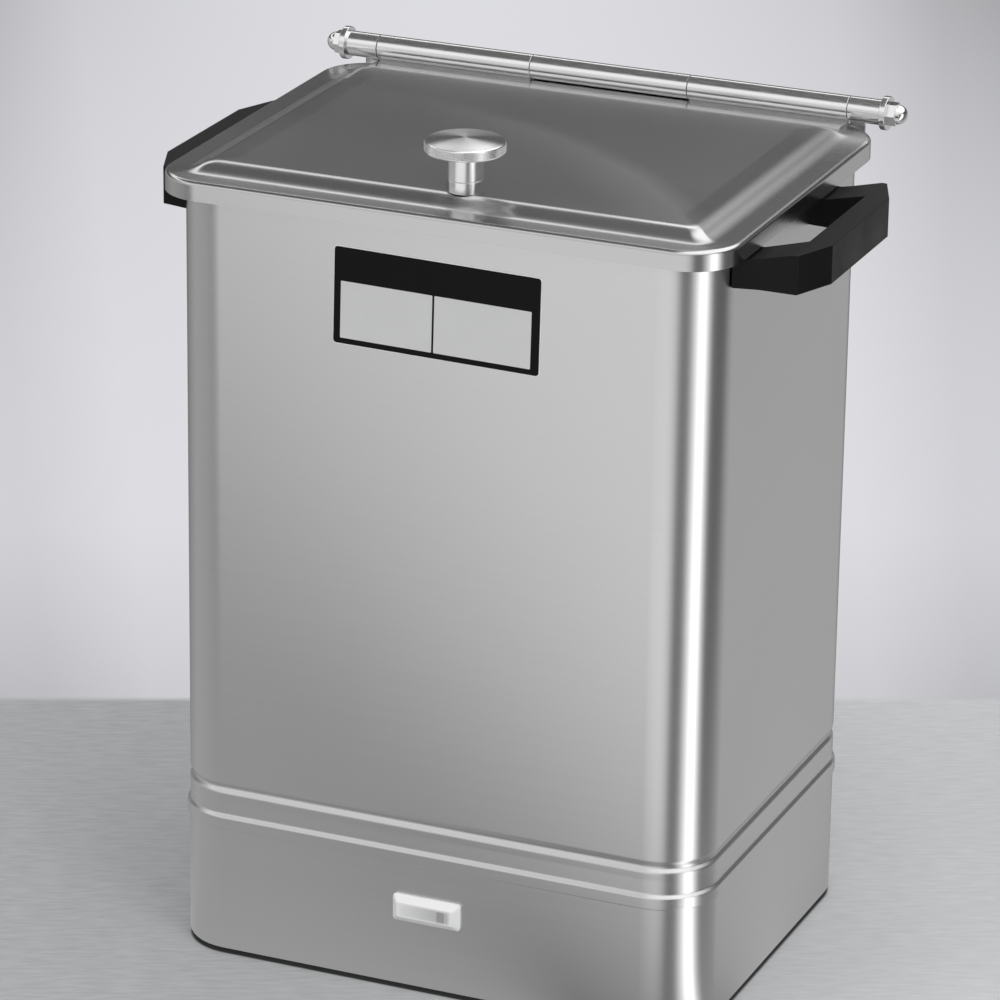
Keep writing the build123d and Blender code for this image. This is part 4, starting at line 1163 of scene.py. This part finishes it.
def layer(name, left, right, low, high, back, thickness, corner, material):
    """A thin rounded rectangle on the plate: its edges are about the plate's middle."""
    rings = []
    for inset, rise in ((0, 0), (0, 0.7), (0.25, 1)):
        spare = inset * thickness
        outline = rounded_rectangle(right - left - 2 * spare, high - low - 2 * spare, corner, 5)
        points = []
        for across, up in outline:
            across += (left + right) / 2
            up += (low + high) / 2
            points.append(Vector((
                plate_middle.x + across * cos(plate_tilt) + up * sin(plate_tilt),
                back - rise * thickness,
                plate_middle.z - across * sin(plate_tilt) + up * cos(plate_tilt),
            )))
        rings.append(points)
    obj = skin(name, rings, ends=(0, -1))
    obj.data.materials.append(material)
    smooth(obj, 40)
    return obj


pale_print = moulded("pale_print", grey(0.60), grey(0.66), 0.45, 0.5 * mm, 0.005 * mm)
plate_edge = moulded("plate_edge", grey(0.84), grey(0.90), 0.35, 0.5 * mm, 0.005 * mm)
margin = 0.5 * mm
backing = layer(
    "plate_pale_edge", -half_width - margin, half_width + margin, -half_height - margin,
    half_height + margin, plate_high.y, 0.15 * mm, 2 * mm, plate_edge,
)
ride_with(backing, "front_label_plate")
plate = layer(
    "plate_black", -half_width, half_width, -half_height, half_height, plate_high.y,
    black_thickness, 1.5 * mm, finish["label_plate"],
)
stand_for(plate, "front_label_plate")
panels = {"left": (-46.6 * mm, -1.9 * mm), "right": (-0.9 * mm, 46.0 * mm)}
panel_low, panel_high = -half_height + 2.7 * mm, half_height - 15.9 * mm
for side, (left, right) in panels.items():
    panel = layer(
        f"plate_panel_{side}", left, right, panel_low, panel_high,
        plate_high.y - black_thickness, 0.05 * mm, 0.4 * mm, pale_print,
    )
    ride_with(panel, "front_label_plate")
print("plate: 4 layers,", round((plate_high.y - plate_low.y) / mm, 2), "mm thick")

# %% [markdown]
# ## Handles, hinge and lamp
#
# These keep their CAD shape and only lose their knife edges. The handles get the widest
# edge, since they are moulded; the hinge parts are machined or cut and get a narrow one.

# %% Softened pieces
soft_edges = {
    "handle_right": (1.0, 3), "handle_left": (1.0, 3), "hinge_lid_leaf": (0.25, 2),
    "hinge_body_leaf": (0.25, 2), "hinge_end_flanges": (0.3, 2), "hinge_acorn_nuts": (0.3, 2),
    "lid_knob_spacer": (0.3, 2), "pilot_lamp_lens": (0.5, 3), "rubber_feet": (0.8, 3),
    "terminal_block": (0.5, 2), "thermostat_case": (0.6, 2), "thermostat_dial": (0.3, 2),
    "thermostat_bracket": (0.2, 2), "cord_gland_cap": (0.5, 2), "base_floor_plate": (0.2, 1),
}
for node, (width, segments) in soft_edges.items():
    softened(node, width * mm, segments)
print("softened:", len(soft_edges), "pieces")

# %% [markdown]
# ## The leaf's edge at the middle barrel
#
# The lid's leaf is cut back where the middle barrel belongs to the rear strap. Its edge reaches
# a little further under that barrel than in the CAD, so the slot between them is narrow.

# %% Leaf's middle edge
leaf = bpy.data.objects["hinge_lid_leaf_soft"]
barrel_half = 40.45 * mm
leaf_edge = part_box("hinge_rod")[0].y - 0.9 * mm
leaf_top = flat_edge + 1.3 * mm
leaf_reach = 1.1 * mm
edge_verts = [
    vert for vert in leaf.data.vertices
    if abs(vert.co.x - body_x) < barrel_half and vert.co.y > leaf_edge and vert.co.z < leaf_top
]
for vert in edge_verts:
    vert.co.y += leaf_reach
print("leaf's edge:", len(edge_verts), "points moved", round(leaf_reach / mm, 1), "mm")

# %% [markdown]
# ## Studio
#
# Polished and brushed metal show the room more than themselves, so the room is drawn with
# care. A table of tones by direction says how bright the studio is round the object: pale to
# the front left, a dark strip just right of the camera, a bright panel to the front right, a
# dark strip after it and a dim room behind. The near table holds close to the object, where
# its foot shows the worktop, and the far table holds further out.

# %% Tones round the object
brightest = 2.4
far_tones = (
    (-180, 0.30), (-150, 0.32), (-110, 0.72), (-60, 1.02), (-35, 1.05), (10, 1.05), (20, 0.85),
    (31, 0.22), (45, 0.22), (61, 1.4), (66, 2.4), (76, 2.4), (83, 1.0), (94, 0.18), (134, 0.15),
    (150, 0.28), (160, 0.39), (180, 0.28),
)
near_tones = (
    (-180, 0.15), (-145, 0.04), (-120, 0.28), (-90, 0.50), (-60, 0.42), (-38, 0.23), (10, 0.25),
    (20, 0.25), (31, 0.22), (45, 0.28), (61, 1.3), (66, 2.3), (76, 2.3), (83, 1.0), (94, 0.38),
    (130, 0.40), (150, 0.52), (160, 0.57), (180, 0.36),
)


def tone_at(tree, value, table):
    """The tone at a value from 0 to 1, from a table of (place, tone)."""
    ramp = add(tree, "ShaderNodeValToRGB", {"Fac": value})
    stops = ramp.color_ramp.elements
    stops.remove(stops[1])
    for number, (place, tone) in enumerate(table):
        stop = stops[0] if number == 0 else stops.new(place)
        stop.position = place
        stop.color = (*grey(tone / brightest), 1)
    return product(tree, ramp.outputs["Color"], brightest)


def tone_round(tree, x, y, table):
    """The tone in the direction (x, y). The table's azimuth is 0 at the front and grows right."""
    angle = calculate(tree, "ARCTAN2", x, product(tree, y, -1))
    turn = calculate(tree, "ADD", calculate(tree, "DIVIDE", angle, 2 * pi), 0.5)
    return tone_at(tree, turn, [(azimuth / 360 + 0.5, tone) for azimuth, tone in table])


def reflected(tree):
    """1 for the rays that carry the room into metal and glass, and 0 for the others."""
    rays = add(tree, "ShaderNodeLightPath").outputs
    return calculate(tree, "MAXIMUM", rays["Is Glossy Ray"], rays["Is Transmission Ray"])


print("tones:", len(far_tones), "far,", len(near_tones), "near")

# %% [markdown]
# ## Floor
#
# The camera sees a light grey worktop with faint streaks, and painted light that makes it paler
# to the right. Past its rear edge the same floor turns into a soft pale sweep, with painted shade
# that makes it a little dimmer at its sides, corners and foot. Under the base the worktop has a
# painted shadow that is nearly black. Only reflections see the tones instead.

# %% Floor
edge_turn = radians(2.0)
edge_near, edge_far = 0.256, 0.262
# The camera's distance, half its view's width per metre away, and its view's middle and half
# its height as 1 / distance along the floor.
camera_back = 2.34
half_across = 0.094
middle_up, half_up = 0.345, 0.11


def painted_base_shadow(tree):
    """Painted shadow: nearly 0 under the base's rounded outline, and 1 outside it."""
    axes = split(tree, object_place(tree))
    squares = []
    for axis, middle, size in (("X", body_x, wall_width), ("Y", body_y, wall_depth)):
        offset = calculate(tree, "ABSOLUTE", difference(tree, axes[axis], middle))
        past = calculate(tree, "MAXIMUM", difference(tree, offset, size / 2 - wall_corner), 0)
        squares.append(calculate(tree, "POWER", past, 2))
    distance = calculate(tree, "SQRT", calculate(tree, "ADD", *squares))
    return remap(tree, distance, 0.05, 1.0, wall_corner - 0.4 * mm, wall_corner + 0.9 * mm)


def worktop_tone(tree, place):
    """Faint streaks on a grey with painted light that grows paler to the right, and painted shadow under the
    base.
    """
    streaks = remap(tree, pattern(tree, 1.0, 2.0, (70, 380, 1), place), -0.035, 0.035)
    # Painted light: the worktop's grey grows paler to the right, where the light falls.
    painted_light = remap(tree, split(tree, place)["X"], 0.42, 0.62, -0.15, 0.20)
    level = calculate(tree, "ADD", painted_light, streaks)
    # Painted shadow: the worktop's grey is taken nearly to black under the base.
    return product(tree, level, painted_base_shadow(tree))


def sweep_tone(tree, place):
    """The backdrop, drawn in shares of the camera's view: painted shade makes its sides, corners and foot
    dimmer.
    """
    axes = split(tree, place)
    distance = calculate(tree, "ADD", axes["Y"], camera_back)
    across = calculate(tree, "DIVIDE", axes["X"], product(tree, distance, half_across))
    below = difference(tree, calculate(tree, "DIVIDE", 1.0, distance), middle_up)
    height = calculate(tree, "DIVIDE", below, half_up)
    # Painted shade: the light falling off dims the corners, the foot and the sides.
    corner = calculate(tree, "POWER", product(tree, across, height), 2)
    tone = remap(tree, corner, 0.72, 0.46, 0.0, 1.0)
    foot = remap(tree, height, 0.0, 0.10, 0.05, 0.36)
    side = remap(tree, calculate(tree, "ABSOLUTE", across), 0.0, 0.08, 0.78, 1.0)
    return difference(tree, difference(tree, tone, foot), side)


def studio_tone(tree):
    """What reflections see on the floor, as seen from the body's right front corner."""
    axes = split(tree, object_place(tree))
    x = difference(tree, axes["X"], body_x + wall_width / 2 - wall_corner)
    y = calculate(tree, "ADD", axes["Y"], wall_depth / 2 - wall_corner - body_y)
    away = remap(tree, difference(tree, axes["X"], axes["Y"]), 0.0, 1.0, 0.19, 0.52)
    return mixed(tree, away, tone_round(tree, x, y, near_tones), tone_round(tree, x, y, far_tones))


def tinted(tree, tone, red, blue):
    """A tone as a colour, with its red and blue scaled."""
    colour = add(tree, "ShaderNodeCombineColor", {
        "Red": product(tree, tone, red), "Green": tone, "Blue": product(tree, tone, blue),
    })
    return colour.outputs["Color"]


def floor_finish():
    """A worktop with a sweep past its rear edge, and the studio's tones for reflections."""
    material, tree, shader = shader_tree("floor")
    place = add(tree, "ShaderNodeMapping", {
        "Vector": object_place(tree), "Rotation": (0, 0, -view_azimuth - edge_turn),
    }).outputs["Vector"]
    colour = tinted(tree, worktop_tone(tree, place), 0.985, 1.015)
    feed(tree, shader, {"Base Color": colour, "Roughness": 0.6})
    sweep = add(tree, "ShaderNodeEmission", {"Color": tinted(tree, sweep_tone(tree, place), 1.0, 1.045)})
    studio = add(tree, "ShaderNodeEmission", {"Color": studio_tone(tree)})
    behind = remap(tree, split(tree, place)["Y"], 0.0, 1.0, edge_near, edge_far)
    seen = add(tree, "ShaderNodeLightPath").outputs["Is Camera Ray"]
    top = add(tree, "ShaderNodeMixShader", {
        "Fac": product(tree, behind, seen), 1: shader.outputs["BSDF"], 2: sweep.outputs["Emission"],
    })
    whole = add(tree, "ShaderNodeMixShader", {
        "Fac": reflected(tree), 1: top.outputs["Shader"], 2: studio.outputs["Emission"],
    })
    feed(tree, tree.nodes["Material Output"], {"Surface": whole.outputs["Shader"]})
    return material


build = bmesh.new()
bmesh.ops.create_grid(build, x_segments=4, y_segments=4, size=4.0)
floor = built("floor", build)
floor.data.materials.append(floor_finish())
print("floor:", len(floor.data.polygons), "faces")

# %% [markdown]
# ## World
#
# Near the horizon the world carries on the far tones. Above them the room is dark, as the lid
# shows it, with a bright strip half-way up, a pale panel overhead to the right and a dimmer
# one in front. They draw the bright lines on the lid's bends and on the hinge. Other rays see a
# plain grey, so that these panels don't light the object.

# %% World
plain_level = 0.50
strip_tones = ((0.24, 0.10), (0.43, 0.10), (0.54, 1.7), (0.61, 1.7), (0.70, 0.18), (0.90, 0.15))
right_panel, front_panel = 1.8, 1.1


def ceiling_tone(tree, axes):
    """The strip, with the panels overhead to the right and in front laid over it."""
    strip = tone_at(tree, axes["Z"], strip_tones)
    right = product(
        tree, remap(tree, axes["X"], 0.0, 1.0, -0.26, -0.06), remap(tree, axes["Z"], 0.0, 1.0, 0.50, 0.62)
    )
    front = product(
        tree, remap(tree, axes["Y"], 1.0, 0.0, -0.60, -0.35), remap(tree, axes["Z"], 1.0, 0.0, 0.70, 0.84)
    )
    return mixed(tree, front, mixed(tree, right, strip, right_panel), front_panel)


def studio_world():
    """The far tones near the horizon and the ceiling above them, both for reflections only."""
    world = bpy.data.worlds.new("studio")
    bpy.context.scene.world = world
    world.use_nodes = True
    tree = world.node_tree
    axes = split(tree, add(tree, "ShaderNodeTexCoord").outputs["Generated"])
    level = product(tree, tone_round(tree, axes["X"], axes["Y"], far_tones), 0.75)
    start = remap(tree, axes["Y"], 0.25, 0.0, -0.3, 0.3)
    raised = remap(tree, difference(tree, axes["Z"], start), 0.0, 1.0, 0.02, 0.16)
    room = mixed(tree, raised, level, ceiling_tone(tree, axes))
    seen = mixed(tree, reflected(tree), plain_level, room)
    feed(tree, tree.nodes["Background"], {"Color": seen})
    print("world:", len(tree.nodes), "nodes")


studio_world()

# %% [markdown]
# ## Lamps
#
# Three soft lamps light what isn't metal: one wide overhead, one to the front right and a
# weaker one to the front left. They are left out of reflections, where the tones stand for
# them.

# %% Lamps
lamp_target = Vector((0, 0, 0.2))
lamps = {
    "overhead": ((0.1, -0.4, 2.5), (2.4, 2.4), 30),
    "front right": ((1.5, -1.2, 0.9), (0.8, 1.2), 10),
    "front left": ((-1.6, -1.8, 1.2), (1.2, 1.2), 8),
}


def softbox(name, place, size, power):
    """A rectangular lamp aimed at the object, left out of reflections."""
    lamp = bpy.data.lights.new(name, "AREA")
    lamp.shape = "RECTANGLE"
    lamp.size, lamp.size_y = size
    lamp.energy = power
    obj = new_object(name, lamp)
    aim = (Vector(place) - lamp_target).to_track_quat("Z", "Y").to_matrix().to_4x4()
    obj.matrix_world = Matrix.Translation(place) @ aim
    obj.visible_camera = False
    obj.visible_glossy = False


for name, (place, size, power) in lamps.items():
    softbox(name, place, size, power)
bpy.context.scene.view_settings.view_transform = "Standard"
print("lamps:", len(lamps))
